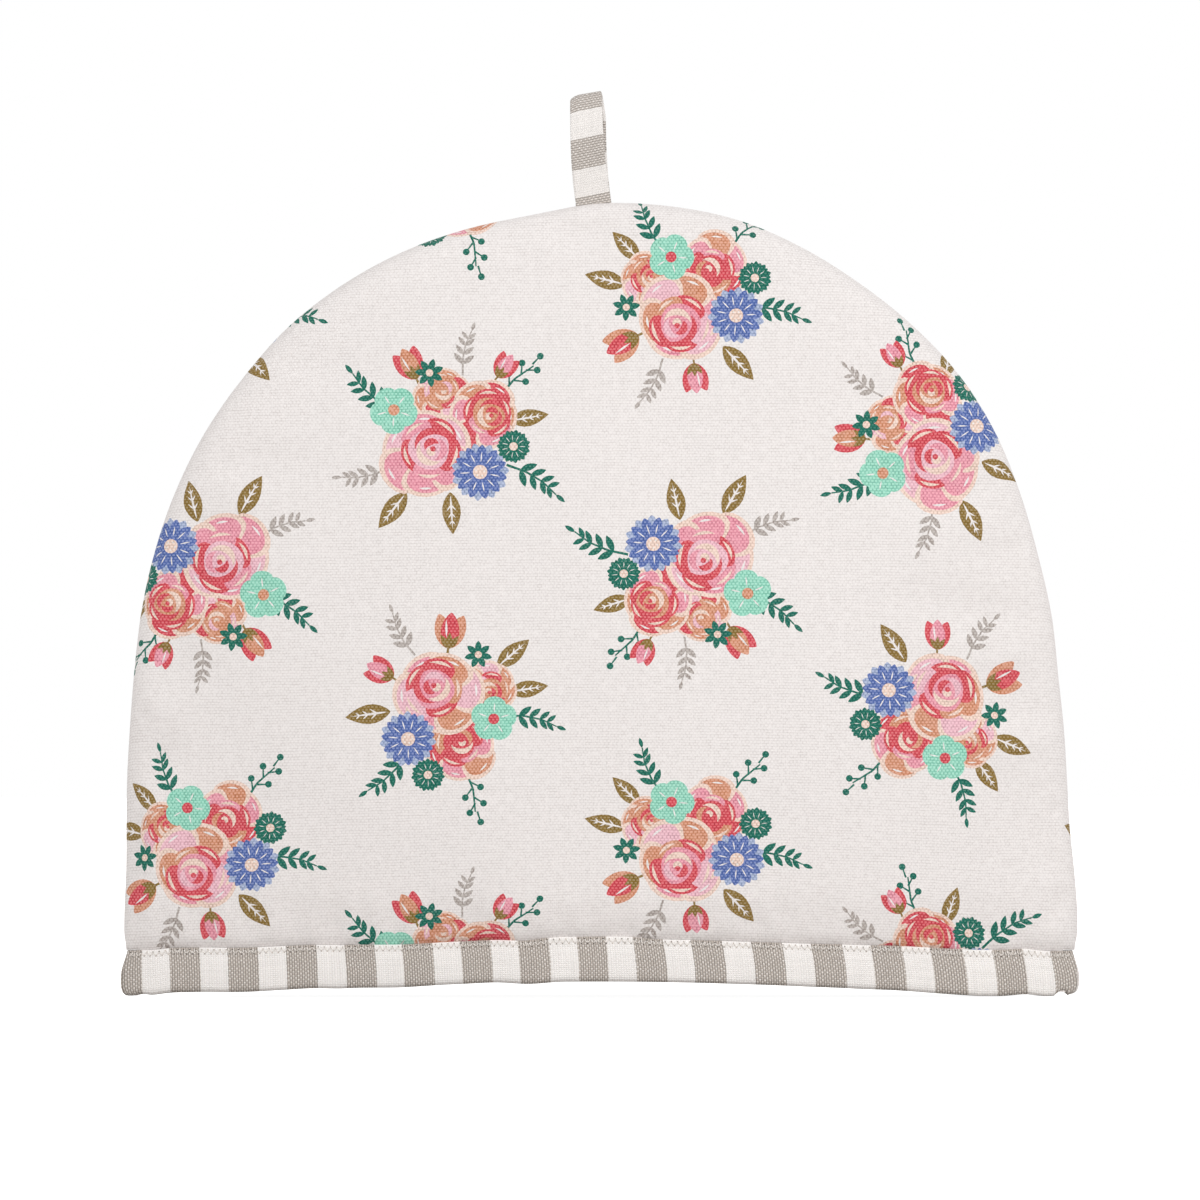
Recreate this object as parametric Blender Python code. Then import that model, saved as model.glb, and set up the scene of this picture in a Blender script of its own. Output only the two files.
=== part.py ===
"""Tea cosy, standing opened on its hem.

Two padded panels meet along a domed seam in the plane y = 0. A striped binding is folded round
the lower edge of each panel, and a folded strip stands in the crown as a hanging loop.
Run it with: blender --background --python part.py
"""

import bpy
import numpy as np

MM = 0.001
PARTING = 0.3 * MM  # air between two pieces that touch

# The seam line from the front, as its reach from the middle of the hem at each angle above the
# table. Angle 0 is the right-hand corner, 180 the left-hand one. The two sides differ as they do
# on the sewn cosy.
SEAM = (
    # degrees, reach in mm
    (0, 170.0),
    (5, 171.3),
    (10, 173.5),
    (15, 175.7),
    (20, 178.9),
    (25, 184.4),
    (30, 191.7),
    (35, 200.2),
    (40, 211.1),
    (45, 222.0),
    (50, 234.2),
    (55, 246.4),
    (60, 256.7),
    (65, 264.7),
    (70, 271.4),
    (75, 277.5),
    (80, 282.0),
    (85, 283.7),
    (90, 283.5),
    (95, 280.5),
    (100, 278.4),
    (105, 275.3),
    (110, 270.5),
    (115, 264.0),
    (120, 255.4),
    (125, 246.3),
    (130, 236.1),
    (135, 225.2),
    (140, 214.2),
    (145, 203.4),
    (150, 194.2),
    (155, 186.7),
    (160, 180.4),
    (165, 175.6),
    (170, 172.9),
    (175, 171.0),
    (180, 170.0),
)
HALF_WIDTH = SEAM[0][1] * MM
HEIGHT = SEAM[len(SEAM) // 2][1] * MM

# How the panels stand open
HOLLOW = 33 * MM  # seam plane to the inner face, at the middle of the hem
HOLLOW_POWER = 1.25  # above 1 the two faces part softly at the seam
LIFT = 6.2 * MM  # the hem bows up in the middle
LIFT_HALF = 135 * MM  # and lies flat on the table beyond this
LIFT_POWER = 1.2  # above 1 it meets the table softly
LIFT_FADE = 3  # how fast the bow dies out with height

# The padded wall
PADDING = 7.0 * MM
SEAM_EDGE = 2.2 * MM  # thickness where it is sewn
ROLL = 11 * MM  # distance over which it fills out from the seam
CREASE = 5.4 * MM  # thickness just above the band
CREASE_HEIGHT = 6 * MM  # height over which it fills out from the band
WAVES = (
    # the padding is uneven: amplitude in mm, waves across, waves up, phase in radians
    (0.45, 1.6, 0.8, 0.4),
    (0.30, 2.7, 1.9, 2.1),
    (0.18, 5.3, 1.2, 4.0),
)

# The binding round the hem
BAND_HEIGHT = 16.2 * MM
BAND_CLOTH = 1.1 * MM  # one thickness of turned ticking
BAND_CORE = 2.6 * MM  # the panel's edge, pressed inside it
CORE_EDGE = 0.8 * MM  # and at the side seams
CORE_INSET = 2.5 * MM  # the panel's edge stops this far short of them
FOLD = 1.0 * MM  # rounding of the fold at the table
TURNED_EDGE = 0.35 * MM  # rounding of its two upper edges
BAND_FLARE = 1.0 * MM  # how far the band's corners stand out
FLARE_START = 0.9  # from this share of the half width

# The hanging loop
LOOP_WIDTH = 12.8 * MM
LOOP_CLOTH = 1.3 * MM
LOOP_HEIGHT = 39.3 * MM
LOOP_X = -2.3 * MM  # middle of its foot
LOOP_LEAN = -2.0 * MM  # how much further over its top is
LEAN_POWER = 3  # above 1 it leans mostly near its foot
LOOP_SLANT = 0.17  # rise of its top edge across its width
LOOP_TAPER = 1.6 * MM  # its front leg is drawn in on the right, towards the top
LOOP_UNFOLD = 4  # how fast the rear leg comes back to its full width
LOOP_EYE = 4.9 * MM  # half the size of the teardrop that its legs follow
LOOP_STATIONS = 34

# Mean colours of the cloths, as red, green and blue
CANVAS = (0.83, 0.79, 0.76)
BAND_TICKING = (0.62, 0.58, 0.54)
LOOP_TICKING = (0.66, 0.62, 0.58)
CLOTH_ROUGHNESS = 0.9

# Mesh
ACROSS = 36  # columns of a panel
UP = 15  # rows of its dome
SKIRT_ROWS = (0.0, 1.0, 2.6, 5.0, 9.0)  # mm above the band, where the padding fills out
SKIRT_TOP = 30 * MM  # above this the rows bend with the dome


def reach(degrees):
    """Distance from the middle of the hem to the seam, by a smooth curve through SEAM."""
    step = SEAM[1][0] - SEAM[0][0]
    table = [row[1] * MM for row in SEAM]
    last = len(table) - 1
    index = min(max(int(degrees // step), 0), last - 1)
    t = degrees / step - index
    # past either corner the curve is mirrored, so that the sides stand upright on the table
    before, here, after, beyond = (table[abs(last - abs(last - k))] for k in range(index - 1, index + 3))
    start = (after - before) / 2
    end = (beyond - here) / 2
    return (
        here * (2 * t**3 - 3 * t**2 + 1)
        + start * (t**3 - 2 * t**2 + t)
        + after * (3 * t**2 - 2 * t**3)
        + end * (t**3 - t**2)
    )


def seam_point(degrees):
    angle = np.radians(degrees)
    return reach(degrees) * np.cos(angle), reach(degrees) * np.sin(angle)


def seam_angle(height, side):
    """Angle at which the seam passes a height, on the right (side 1) or on the left (-1)."""
    low = 0.0
    for _ in range(12):
        at = low if side > 0 else 180 - low
        low = np.degrees(np.arcsin(min(height / reach(at), 1.0)))
    return low if side > 0 else 180 - low


def half_width(height, side):
    return abs(seam_point(seam_angle(height, side))[0])


def fraction_out(x, z):
    """How far out a point lies, from 0 in the middle of the hem to 1 on the seam."""
    degrees = np.degrees(np.arctan2(max(z, 0.0), x))
    return min(np.hypot(x, z) / reach(degrees), 1.0)


def from_seam(x, z):
    degrees = np.degrees(np.arctan2(max(z, 0.0), x))
    return (1 - fraction_out(x, z)) * reach(degrees)


def inner_face(x, z):
    """Distance from the seam plane to the cosy's inner face."""
    return PARTING / 2 + HOLLOW * (1 - fraction_out(x, z) ** 2) ** HOLLOW_POWER


def fill_out(distance, over):
    """A quarter round, from 0 at the edge to 1 at the given distance."""
    t = min(max(distance / over, 0.0), 1.0)
    return np.sqrt(1 - (1 - t) ** 2)


def unevenness(x, z):
    return sum(
        size * MM * np.sin(2 * np.pi * (across * x + up * z) / (2 * HALF_WIDTH) + phase)
        for size, across, up, phase in WAVES
    )


def wall(x, z, above_band):
    """Thickness of the padded wall."""
    full = CREASE + (PADDING - CREASE) * fill_out(above_band, CREASE_HEIGHT)
    full += unevenness(x, z) * fill_out(above_band, SKIRT_TOP)
    return SEAM_EDGE + (full - SEAM_EDGE) * fill_out(from_seam(x, z), ROLL)


def core(x, z):
    """Thickness of the panel's edge inside the band."""
    return CORE_EDGE + (BAND_CORE - CORE_EDGE) * fill_out(from_seam(x, z), ROLL)


def lifted(x, z):
    """Height of a point once the hem bows up."""
    out = min(abs(x) / LIFT_HALF, 1.0)
    fade = max(1 - z / HEIGHT, 0.0) ** LIFT_FADE
    return z + LIFT * (1 - out**2) ** LIFT_POWER * fade


def crowded(count):
    """Places from 0 to 1, crowded towards 1, where the wall rolls to the seam."""
    return np.sin(np.pi / 2 * np.arange(count + 1) / count)


def columns():
    half = crowded(ACROSS // 2)
    return [*-half[:0:-1], *half]


def cloth(name, colour):
    made = bpy.data.materials.new(name)
    made.use_nodes = True
    shader = made.node_tree.nodes["Principled BSDF"]
    shader.inputs["Base Color"].default_value = (*colour, 1.0)
    shader.inputs["Roughness"].default_value = CLOTH_ROUGHNESS
    shader.inputs["Metallic"].default_value = 0.0
    made.diffuse_color = (*colour, 1.0)
    return made


def add_object(name, points, faces, look, sharp_degrees=40):
    mesh = bpy.data.meshes.new(name)
    mesh.from_pydata([tuple(map(float, point)) for point in points], [], faces)
    mesh.validate()
    mesh.shade_smooth()
    mesh.set_sharp_from_angle(angle=np.radians(sharp_degrees))
    mesh.materials.append(look)
    made = bpy.data.objects.new(name, mesh)
    bpy.context.scene.collection.objects.link(made)
    return made


def turned(faces, side):
    """Faces wound for the front (side -1), or the other way round for the back (side 1)."""
    return faces if side < 0 else [face[::-1] for face in faces]


def pressed_row(height):
    """A row of the panel's edge inside the band."""
    return [(u * (HALF_WIDTH - CORE_INSET), height) for u in columns()]


def skirt_row(height):
    """A level row from side seam to side seam."""
    return [(u * half_width(height, 1 if u > 0 else -1), height) for u in columns()]


def dome_row(v):
    """A row of the dome, which bends from level at the skirt to the seam at the crown."""
    right, left = seam_angle(SKIRT_TOP, 1), seam_angle(SKIRT_TOP, -1)
    row = []
    for u in columns():
        across, up = u * np.sqrt(1 - v**2 / 2), v * np.sqrt(1 - u**2 / 2)
        out = np.hypot(across, up)
        turn = np.arctan2(up, across) / np.pi if out else 0.5
        x, z = seam_point(right + (left - right) * turn)
        row.append((out * x, SKIRT_TOP + out * (z - SKIRT_TOP)))
    return row


def add_panel(name, side, look):
    """One padded panel as a closed wall. Its lower edge is pressed into the band."""
    ledge = BAND_HEIGHT + PARTING
    cover = BAND_CLOTH + PARTING
    outer, inner = [], []
    for height in (cover, ledge):
        for x, z in pressed_row(height):
            near = inner_face(x, z) + cover
            outer.append((x, side * (near + core(x, z)), lifted(x, z)))
            inner.append((x, side * near, lifted(x, z)))
    rows = [skirt_row(ledge + rise * MM) for rise in SKIRT_ROWS]
    rows += [dome_row(v) for v in crowded(UP)]
    for x, z in (point for row in rows for point in row):
        near = inner_face(x, z)
        outer.append((x, side * (near + wall(x, z, z - ledge)), lifted(x, z)))
        inner.append((x, side * near, lifted(x, z)))

    wide = ACROSS + 1
    high = len(outer) // wide
    back = len(outer)
    faces = []
    for j in range(high - 1):
        for i in range(ACROSS):
            a = j * wide + i
            b, c, d = a + 1, a + 1 + wide, a + wide
            faces.append((a, b, c, d))
            faces.append((back + d, back + c, back + b, back + a))
    rim = [*range(wide)]
    rim += [j * wide + ACROSS for j in range(1, high)]
    rim += [(high - 1) * wide + i for i in range(ACROSS - 1, -1, -1)]
    rim += [j * wide for j in range(high - 2, 0, -1)]
    for a, b in zip(rim, rim[1:] + rim[:1]):
        faces.append((b, a, back + a, back + b))
    return add_object(name, outer + inner, turned(faces, side), look)


def flared(x, z):
    """The band's corners stand out a little below the side seams."""
    corner = max((abs(x) / HALF_WIDTH - FLARE_START) / (1 - FLARE_START), 0.0)
    return x + np.sign(x) * BAND_FLARE * corner**2 * (1 - z / BAND_HEIGHT)


def band_section(x, side):
    """The folded binding's outline and the channel in it, at one place along the hem."""

    def place(depth, z):
        return (flared(x, z), side * depth, lifted(x, z))

    def inside(z):
        return inner_face(x, z)

    def outside(z):
        return inner_face(x, z) + 2 * (BAND_CLOTH + PARTING) + core(x, z)

    # height of each point and how far it is drawn in, down one leg of the fold
    leg = (
        (BAND_HEIGHT, TURNED_EDGE),
        (BAND_HEIGHT - 2 * TURNED_EDGE, 0.0),
        (FOLD, 0.0),
        (0.0, FOLD),
    )
    outline = [place(outside(z) - drawn_in, z) for z, drawn_in in leg]
    outline += [place(inside(z) + drawn_in, z) for z, drawn_in in reversed(leg)]
    channel = [place(inside(z) + BAND_CLOTH, z) for z in (BAND_HEIGHT, BAND_CLOTH)]
    channel += [place(outside(z) - BAND_CLOTH, z) for z in (BAND_CLOTH, BAND_HEIGHT)]
    return outline, channel


def strip(here, there):
    """Faces between two rows of points."""
    return [
        (here[k + 1], there[k + 1], there[k], here[k])
        for k in range(len(here) - 1)
    ]


def add_band(name, side, look):
    """Binding folded round a panel's lower edge, closed at both side seams."""
    stop = HALF_WIDTH - CORE_INSET + PARTING
    inner = [u * (HALF_WIDTH - CORE_INSET) for u in columns()]
    inner[0], inner[-1] = -stop, stop
    points, outlines, channels = [], [], []
    for x in (-HALF_WIDTH, *inner, HALF_WIDTH):
        outline, channel = band_section(x, side)
        if abs(x) == HALF_WIDTH:
            channel = []
        outlines.append([len(points) + k for k in range(len(outline))])
        points += outline
        channels.append([len(points) + k for k in range(len(channel))])
        points += channel

    rings = [[*o, *c, o[0]] for o, c in zip(outlines, channels)]
    faces = strip(outlines[0], outlines[1]) + strip(outlines[-2], outlines[-1])
    for here, there in zip(rings[1:-2], rings[2:-1]):
        faces += strip(here, there)
    for end, near, order in ((0, 1, -1), (-1, -2, 1)):
        cap, rim, channel = outlines[end], outlines[near], channels[near]
        lid = (cap[0], cap[-1], rim[-1], channel[0], channel[-1], rim[0])
        faces += [cap[::order], lid[::order], channel[::order]]
    return add_object(name, points, turned(faces, side), look)


def loop_path():
    """The middle of the folded strip from the side, as a teardrop: (depth, height) points."""
    path = []
    for k in range(LOOP_STATIONS + 1):
        turn = 2 * np.pi * k / LOOP_STATIONS
        depth = -LOOP_EYE * np.sin(turn) * np.sin(turn / 2)
        height = LOOP_HEIGHT * (1 - np.cos(turn)) / 2
        feet = (LOOP_CLOTH / 2 + PARTING / 2) * np.cos(turn / 2)
        path.append((depth - feet, height))
    return path


def add_loop(name, look):
    """A flat strip folded over: up in front, over the top and down behind."""
    foot = HEIGHT + PARTING
    middle = loop_path()
    tall = LOOP_HEIGHT - LOOP_CLOTH / 2
    points = []
    for k, (depth, height) in enumerate(middle):
        before, after = middle[max(k - 1, 0)], middle[min(k + 1, len(middle) - 1)]
        run, climb = after[0] - before[0], after[1] - before[1]
        if k in (0, LOOP_STATIONS):
            run = 0.0
        length = np.hypot(run, climb)
        out_y, out_z = -climb / length, run / length
        down_behind = max(2 * k / LOOP_STATIONS - 1, 0.0)
        up = height / LOOP_HEIGHT
        lean = LOOP_LEAN * (1 - (1 - up) ** LEAN_POWER)
        taper = LOOP_TAPER * up * max(1 - LOOP_UNFOLD * down_behind, 0.0)
        for across, face in ((-1, 1), (1, 1), (1, -1), (-1, -1)):
            x = across * LOOP_WIDTH / 2 - max(across, 0) * taper
            y = depth + out_y * face * LOOP_CLOTH / 2
            z = height * tall / LOOP_HEIGHT + out_z * face * LOOP_CLOTH / 2
            points.append((LOOP_X + x + lean, y, foot + z + LOOP_SLANT * x * up))
    faces = []
    for k in range(LOOP_STATIONS):
        for m in range(4):
            a, b = 4 * k + m, 4 * k + (m + 1) % 4
            faces.append((a, b, b + 4, a + 4))
    last = 4 * LOOP_STATIONS
    faces.append((3, 2, 1, 0))
    faces.append((last, last + 1, last + 2, last + 3))
    return add_object(name, points, faces, look, sharp_degrees=50)


def main():
    for old in list(bpy.data.objects):
        bpy.data.objects.remove(old, do_unlink=True)
    canvas = cloth("printed canvas", CANVAS)
    band_ticking = cloth("band ticking", BAND_TICKING)
    for place, side in (("front", -1), ("back", 1)):
        add_panel(place + "_panel", side, canvas)
        add_band(place + "_band", side, band_ticking)
    add_loop("loop", cloth("loop ticking", LOOP_TICKING))


main()
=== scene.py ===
"""Padded tea cosy: printed canvas panels, ticking bound hem, ticking hanging loop and its stage.

Laid out as an add-on and run as a script. Lengths are metres unless a name or comment says mm.
"""

import bpy
import numpy as np
from bpy.props import FloatProperty, FloatVectorProperty, IntProperty, PointerProperty
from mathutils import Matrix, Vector
from mathutils.bvhtree import BVHTree
from mathutils.geometry import delaunay_2d_cdt
from mathutils.interpolate import poly_3d_calc


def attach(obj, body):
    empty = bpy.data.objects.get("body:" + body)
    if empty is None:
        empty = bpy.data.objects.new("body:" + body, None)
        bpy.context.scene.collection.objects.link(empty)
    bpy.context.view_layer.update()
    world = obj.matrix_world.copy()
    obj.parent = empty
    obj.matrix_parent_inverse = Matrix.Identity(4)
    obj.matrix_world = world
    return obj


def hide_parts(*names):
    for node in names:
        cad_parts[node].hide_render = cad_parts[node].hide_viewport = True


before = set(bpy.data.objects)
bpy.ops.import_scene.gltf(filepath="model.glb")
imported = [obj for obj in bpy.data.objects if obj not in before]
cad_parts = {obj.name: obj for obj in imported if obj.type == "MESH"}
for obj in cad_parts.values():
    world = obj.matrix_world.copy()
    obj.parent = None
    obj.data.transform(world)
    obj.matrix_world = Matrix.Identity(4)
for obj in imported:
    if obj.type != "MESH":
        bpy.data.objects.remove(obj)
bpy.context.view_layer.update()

bl_info = {
    "name": "Padded tea cosy",
    "version": (1, 0, 0),
    "blender": (4, 5, 0),
    "location": "3D View > Sidebar > Cosy",
    "description": "Sews a padded tea cosy of printed canvas with a ticking hem and loop",
    "category": "Object",
}

MM = 0.001
FRONT, BACK = -1, 1  # the side of the seam plane that a piece lies on

# ---- the cosy's shape, as the solids have it --------------------------------------------------

SEAM_STEP = 5  # degrees between two entries of the seam line
SEAM = (  # reach in mm from the middle of the hem, from the right-hand corner over to the left
    170.0, 171.3, 173.5, 175.7, 178.9, 184.4, 191.7, 200.2, 211.1, 222.0, 234.2, 246.4, 256.7,
    264.7, 271.4, 277.5, 282.0, 283.7, 283.5, 280.5, 278.4, 275.3, 270.5, 264.0, 255.4, 246.3,
    236.1, 225.2, 214.2, 203.4, 194.2, 186.7, 180.4, 175.6, 172.9, 171.0, 170.0,
)
HALF_WIDTH = SEAM[0] * MM
HEIGHT = SEAM[len(SEAM) // 2] * MM
PARTING = 0.3 * MM  # the seam between two pieces
HOLLOW = 33 * MM  # from the seam plane to the inner face, in the middle of the hem
HOLLOW_POWER = 1.25  # how steeply that closes towards the seam
LIFT = 6.2 * MM  # the hem bows up by this much in its middle
LIFT_HALF = 135 * MM  # over this far to each side
LIFT_POWER = 1.2
LIFT_FADE = 3  # how fast the bow dies out up the dome

ROLL = 11 * MM  # the panels round off to the seam over this width
PADDING_WAVES = (  # amplitude in mm, waves across, waves up, phase
    (0.45, 1.6, 0.8, 0.4),
    (0.30, 2.7, 1.9, 2.1),
    (0.18, 5.3, 1.2, 4.0),
)
SKIRT_TOP = 30 * MM  # those waves grow from the band up to here

BAND_HEIGHT = 16.2 * MM
BAND_CLOTH = 1.1 * MM
BAND_CORE = 2.6 * MM  # thickness of the pressed panel inside the band
CORE_EDGE = 0.8 * MM  # and where it runs out at the side seams
LEDGE = BAND_HEIGHT + PARTING  # the panels show from here up
COVER = BAND_CLOTH + PARTING

LOOP_WIDTH = 12.8 * MM
LOOP_CLOTH = 1.3 * MM
LOOP_HEIGHT = 39.3 * MM
LOOP_X = -2.3 * MM  # middle of its feet
LOOP_LEAN = -2.0 * MM  # its top stands this far to the side of them
LEAN_POWER = 3
LOOP_SLANT = 0.17  # its folded top climbs to the right by this much for its width
LOOP_TAPER = 1.6 * MM  # it is this much narrower at the top
LOOP_UNFOLD = 4  # how soon its rear leg is wide again
LOOP_EYE = 4.9 * MM  # how far its legs bow apart

# ---- how the cloths lie, beyond what the solids have ------------------------------------------

SEAM_TOUCH = 0.05 * MM  # the panels' edges stand this far from the seam plane
CLOTH_EDGE = 0.5 * MM  # thickness of a panel where it runs into the seam
PRESSED_EDGE = 166.5 * MM  # half the panel's flat width inside the band
CREASE_HEIGHT = 8 * MM  # the padding fills out over this height above the band
LINING_STEP = 3 * MM  # the inner face steps in behind the band over this height
# Ripples: length and, in radians and mm, how far and over what length they stray
DOME_WAVE = (12.5, 1.6, 71)
HEM_WAVE = (13.5, 1.9, 83)
BAND_WAVE = (8.3, 1.4, 57)
SEAM_PUCKER = 0.16  # mm, ripples along the dome seam
SEAM_PUCKER_REACH = 4 * MM  # where they are strongest
HEM_PUCKER = 0.26  # mm, ripples above the band
HEM_PUCKER_REACH = 4.5 * MM
DIPS = (  # soft dents above the band: middle, depth, half width and height, in mm
    (7.0, 0.85, 13.0, 8.0),
    (-33.0, 0.30, 7.0, 9.0),
    (62.0, 0.35, 10.0, 10.0),
    (-96.0, 0.35, 12.0, 11.0),
    (128.0, 0.40, 9.0, 12.0),
)
HEM_RISE = (  # how far the front hem stands above its even bow: place and rise, in mm
    (-170, 0.0), (-161, 0.4), (-151, 1.5), (-138, 1.7), (-122, 1.25), (-105, 1.2), (-90, 0.4),
    (-70, -0.3), (-52, 0.0), (-38, 0.2), (-25, -0.6), (-13, 0.0), (45, 0.0), (72, 0.1), (90, 0.3),
    (107, 0.6), (125, 0.4), (143, 0.2), (152, 0.7), (159, 0.0), (170, 0.0),
)
RISE_FADE = 70 * MM  # that rise dies out over this height
BACK_RISE = 0.6  # share of it that the back hem has
SEAM_DRAW = 0.8 * MM  # the side seams are drawn in by this much where the bands are sewn on
SEAM_DRAW_FROM = 150 * MM  # from here out
SEAM_DRAW_OVER = 20 * MM
SEAM_DRAW_HALF = 6 * MM  # and this far up and down
HEM_RIPPLES = (  # short lifts of the fold: middle, height and half width, in mm
    (165.3, 2.0, 2.6),
    (170.5, 0.8, 3.5),
    (-163.5, 0.5, 2.0),
)

BAND_STATION = 1.9 * MM  # spacing of the band's cross sections
BAND_BULGE = 0.45 * MM  # the padding swells the band's front
BAND_FOLD = 1.5 * MM  # radius of its fold at the hem
BAND_RIPPLE = 0.14  # mm, short ripples at the band's sewn edge
BAND_SLOW = 0.12  # mm, long waves all down it
BAND_SLOW_LENGTH = 23  # mm
BAND_SWELL = (  # how far the band's edge rides up the padding: place and height, in mm
    (-170, 0.0), (-60, -0.2), (-30, 0.0), (-18, 0.8), (7, 0.9), (24, 0.0), (60, -0.2), (143, 0.4),
    (170, -0.2),
)
CORNER_START = 0.93  # the band's ends are shaped from this share of the half width
CORNER_STANDS = {FRONT: 0.8 * MM, BACK: 1.6 * MM}  # they bulge out below the side seams
CORNER_PINCH = 0.9 * MM  # and are drawn in by the seam above
CORNER_TUCK = 2.0 * MM  # and by the fold below

STITCH_HIGH = 0.7 * MM  # the zigzag's two rows of needle holes, below the band's edge
STITCH_LOW = 2.3 * MM
STITCH_INSET = 1.5 * MM  # the rows end this far from the corners
STITCH_DENT = 0.3 * MM  # the lower row pulls the band in by this much
DENT_HALF = 0.6 * MM
THREAD_STANDS = 0.06 * MM  # the thread's middle stands this far above the cloth

# The stripes drift a little along the hem, as the band was eased on: place and drift, in mm
TICKING_DRIFT = (
    (-170, 0.0), (-91, 0.0), (-70, 0.6), (-49, 0.8), (-28, 1.3), (-8, 1.4), (12, 2.5), (33, 3.0),
    (55, 2.5), (97, 1.9), (118, 1.6), (140, 0.2), (170, 0.3),
)
STRIPE_LEAN = (  # and how far they lean to the right down the band
    (-170, 0.5), (-100, 0.6), (-85, 1.1), (0, 1.0), (20, 1.8), (60, 1.7), (130, 2.0), (170, 2.1),
)
FIRST_GREY = -153.95 * MM  # where a grey stripe starts on the front band
BACK_EASED = 0.975  # the back band is eased on more, and starts at another stripe
BACK_START = -8.6 * MM

LOOP_PARTS = 1.55 * MM  # the loop's legs hold the seam open by this much on each side
PARTS_BESIDE = 7 * MM  # and it closes over this far beside them
PARTS_BELOW = 12 * MM  # and below them
LOOP_SUNK = 3 * MM  # they reach this far down into it
LOOP_GREY = 13.0 * MM  # where a grey stripe starts up its front leg
LOOP_BEHIND = 3 * MM  # behind, they have slipped up by this much
LOOP_STRIPES = 0.2  # the loop's stripes climb by this share of the way across it
LOOP_CORNER = 1.3 * MM  # rounding of its upper left corner
LOOP_CORNER_WIDTH = 3.5 * MM

# ---- how the cloths are cut and settled -------------------------------------------------------

CREASE_ROWS = (-0.4 * MM, 0.5 * MM, 1.5 * MM)  # rows of points close by the panel's lower crease
JOIN = 1e-4  # mm, nearer points are joined when a flat cloth is divided
LINING_GRAIN = 2.5  # the inner face is this much coarser than the outer one
LINING_ROOM = 2 * MM  # and its points keep this far from its edge
HELD_ABOVE = 0.2 * MM  # the cloth is held up to this far above the band while it settles
SETTLE_FRAMES = 20
DOME_SAMPLES = 3000
LOW_SAMPLES = 600  # as many of them cover the lowest 36 degrees of each side

# ---- helpers ----------------------------------------------------------------------------------


def linear(code):
    """An sRGB hex colour as linear red, green and blue."""
    parts = [int(code[k:k + 2], 16) / 255 for k in (0, 2, 4)]
    return tuple(c / 12.92 if c <= 0.04045 else ((c + 0.055) / 1.055) ** 2.4 for c in parts)


def add(tree, kind, inputs=None, **settings):
    """Adds a node with its settings. An input is a value, or another node's output to link."""
    node = tree.nodes.new(kind)
    for name, value in settings.items():
        setattr(node, name, value)
    for key, value in (inputs or {}).items():
        if isinstance(value, bpy.types.NodeSocket):
            tree.links.new(value, node.inputs[key])
        else:
            node.inputs[key].default_value = value
    return node


def smooth_step(t):
    """Eases from 0 at 0 to 1 at 1."""
    t = np.clip(t, 0.0, 1.0)
    return t * t * (3 - 2 * t)


def bell(t):
    """A soft hump, 1 at 0 and 0 beyond 1 either way."""
    return (1 - np.clip(np.abs(t), 0.0, 1.0) ** 2) ** 2


def eased(x, table):
    """Reads rows of place and value, in mm, with soft bends from row to row. Returns metres."""
    places, values = np.array(table, float).T
    at = np.asarray(x) / MM
    k = np.clip(np.searchsorted(places, at, side="right") - 1, 0, len(places) - 2)
    t = smooth_step((at - places[k]) / (places[k + 1] - places[k]))
    return (values[k] * (1 - t) + values[k + 1] * t) * MM


def wavy(at, length, stray, over):
    """Ripples of one length whose phase strays to and fro over a greater one."""
    return np.sin(2 * np.pi * at / length + stray * np.sin(2 * np.pi * at / over))


def gathered(ripple, distance, reach_out):
    """Lets ripples grow from a sewn edge as far as their reach, and die out beyond it."""
    return ripple * (distance / reach_out) * np.exp(1 - distance / reach_out)


def fill_out(distance, over):
    """A quarter round, from 0 at the edge to 1 at the given distance."""
    return np.sqrt(1 - (1 - np.clip(distance / over, 0.0, 1.0)) ** 2)


def new_piece(name, points, faces, looks, body="root"):
    """Makes a smooth mesh of points and faces, which rides on a body unless that is None."""
    mesh = bpy.data.meshes.new(name)
    mesh.from_pydata(np.asarray(points).tolist(), [], [tuple(map(int, f)) for f in faces])
    mesh.shade_smooth()
    for look in looks:
        mesh.materials.append(look)
    made = bpy.data.objects.new(name, mesh)
    bpy.context.scene.collection.objects.link(made)
    if body:
        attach(made, body)
    return made


def lay_uv(mesh, name, flat):
    """Writes the flat cloth's own coordinates, given for each vertex, as a UV map."""
    corner = np.zeros(len(mesh.loops), int)
    mesh.loops.foreach_get("vertex_index", corner)
    layer = mesh.uv_layers.new(name=name)
    layer.data.foreach_set("uv", np.asarray(flat, np.float32)[corner].ravel())


# ---- the cosy's form --------------------------------------------------------------------------


def reach(degrees):
    """Distance from the middle of the hem to the seam, by a smooth curve through SEAM."""
    table = np.array(SEAM) * MM
    last = len(SEAM) - 1
    index = np.clip(np.floor(degrees / SEAM_STEP).astype(int), 0, last - 1)
    t = degrees / SEAM_STEP - index
    before, here, after, beyond = (
        table[np.abs(last - np.abs(last - index - k))] for k in (-1, 0, 1, 2)
    )
    start = (after - before) / 2
    end = (beyond - here) / 2
    return (
        here * (2 * t**3 - 3 * t**2 + 1)
        + start * (t**3 - 2 * t**2 + t)
        + after * (3 * t**2 - 2 * t**3)
        + end * (t**3 - t**2)
    )


def bearing(x, z):
    """The angle of a point round the middle of the hem, from the right, in degrees."""
    return np.degrees(np.arctan2(np.maximum(z, 0.0), x))


def fraction_out(x, z):
    """How far out a point lies, from 0 in the middle of the hem to 1 on the seam."""
    return np.minimum(np.hypot(x, z) / reach(bearing(x, z)), 1.0)


def from_seam(x, z):
    """How far in from the seam a point lies."""
    return (1 - fraction_out(x, z)) * reach(bearing(x, z))


def held_open(x, z):
    """The seam gapes a little where the loop's two legs pass through it."""
    beside = np.abs(x - LOOP_X) - LOOP_WIDTH / 2
    across = 1 - smooth_step(beside / PARTS_BESIDE)
    return LOOP_PARTS * across * (1 - smooth_step((HEIGHT - z) / PARTS_BELOW))


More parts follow.
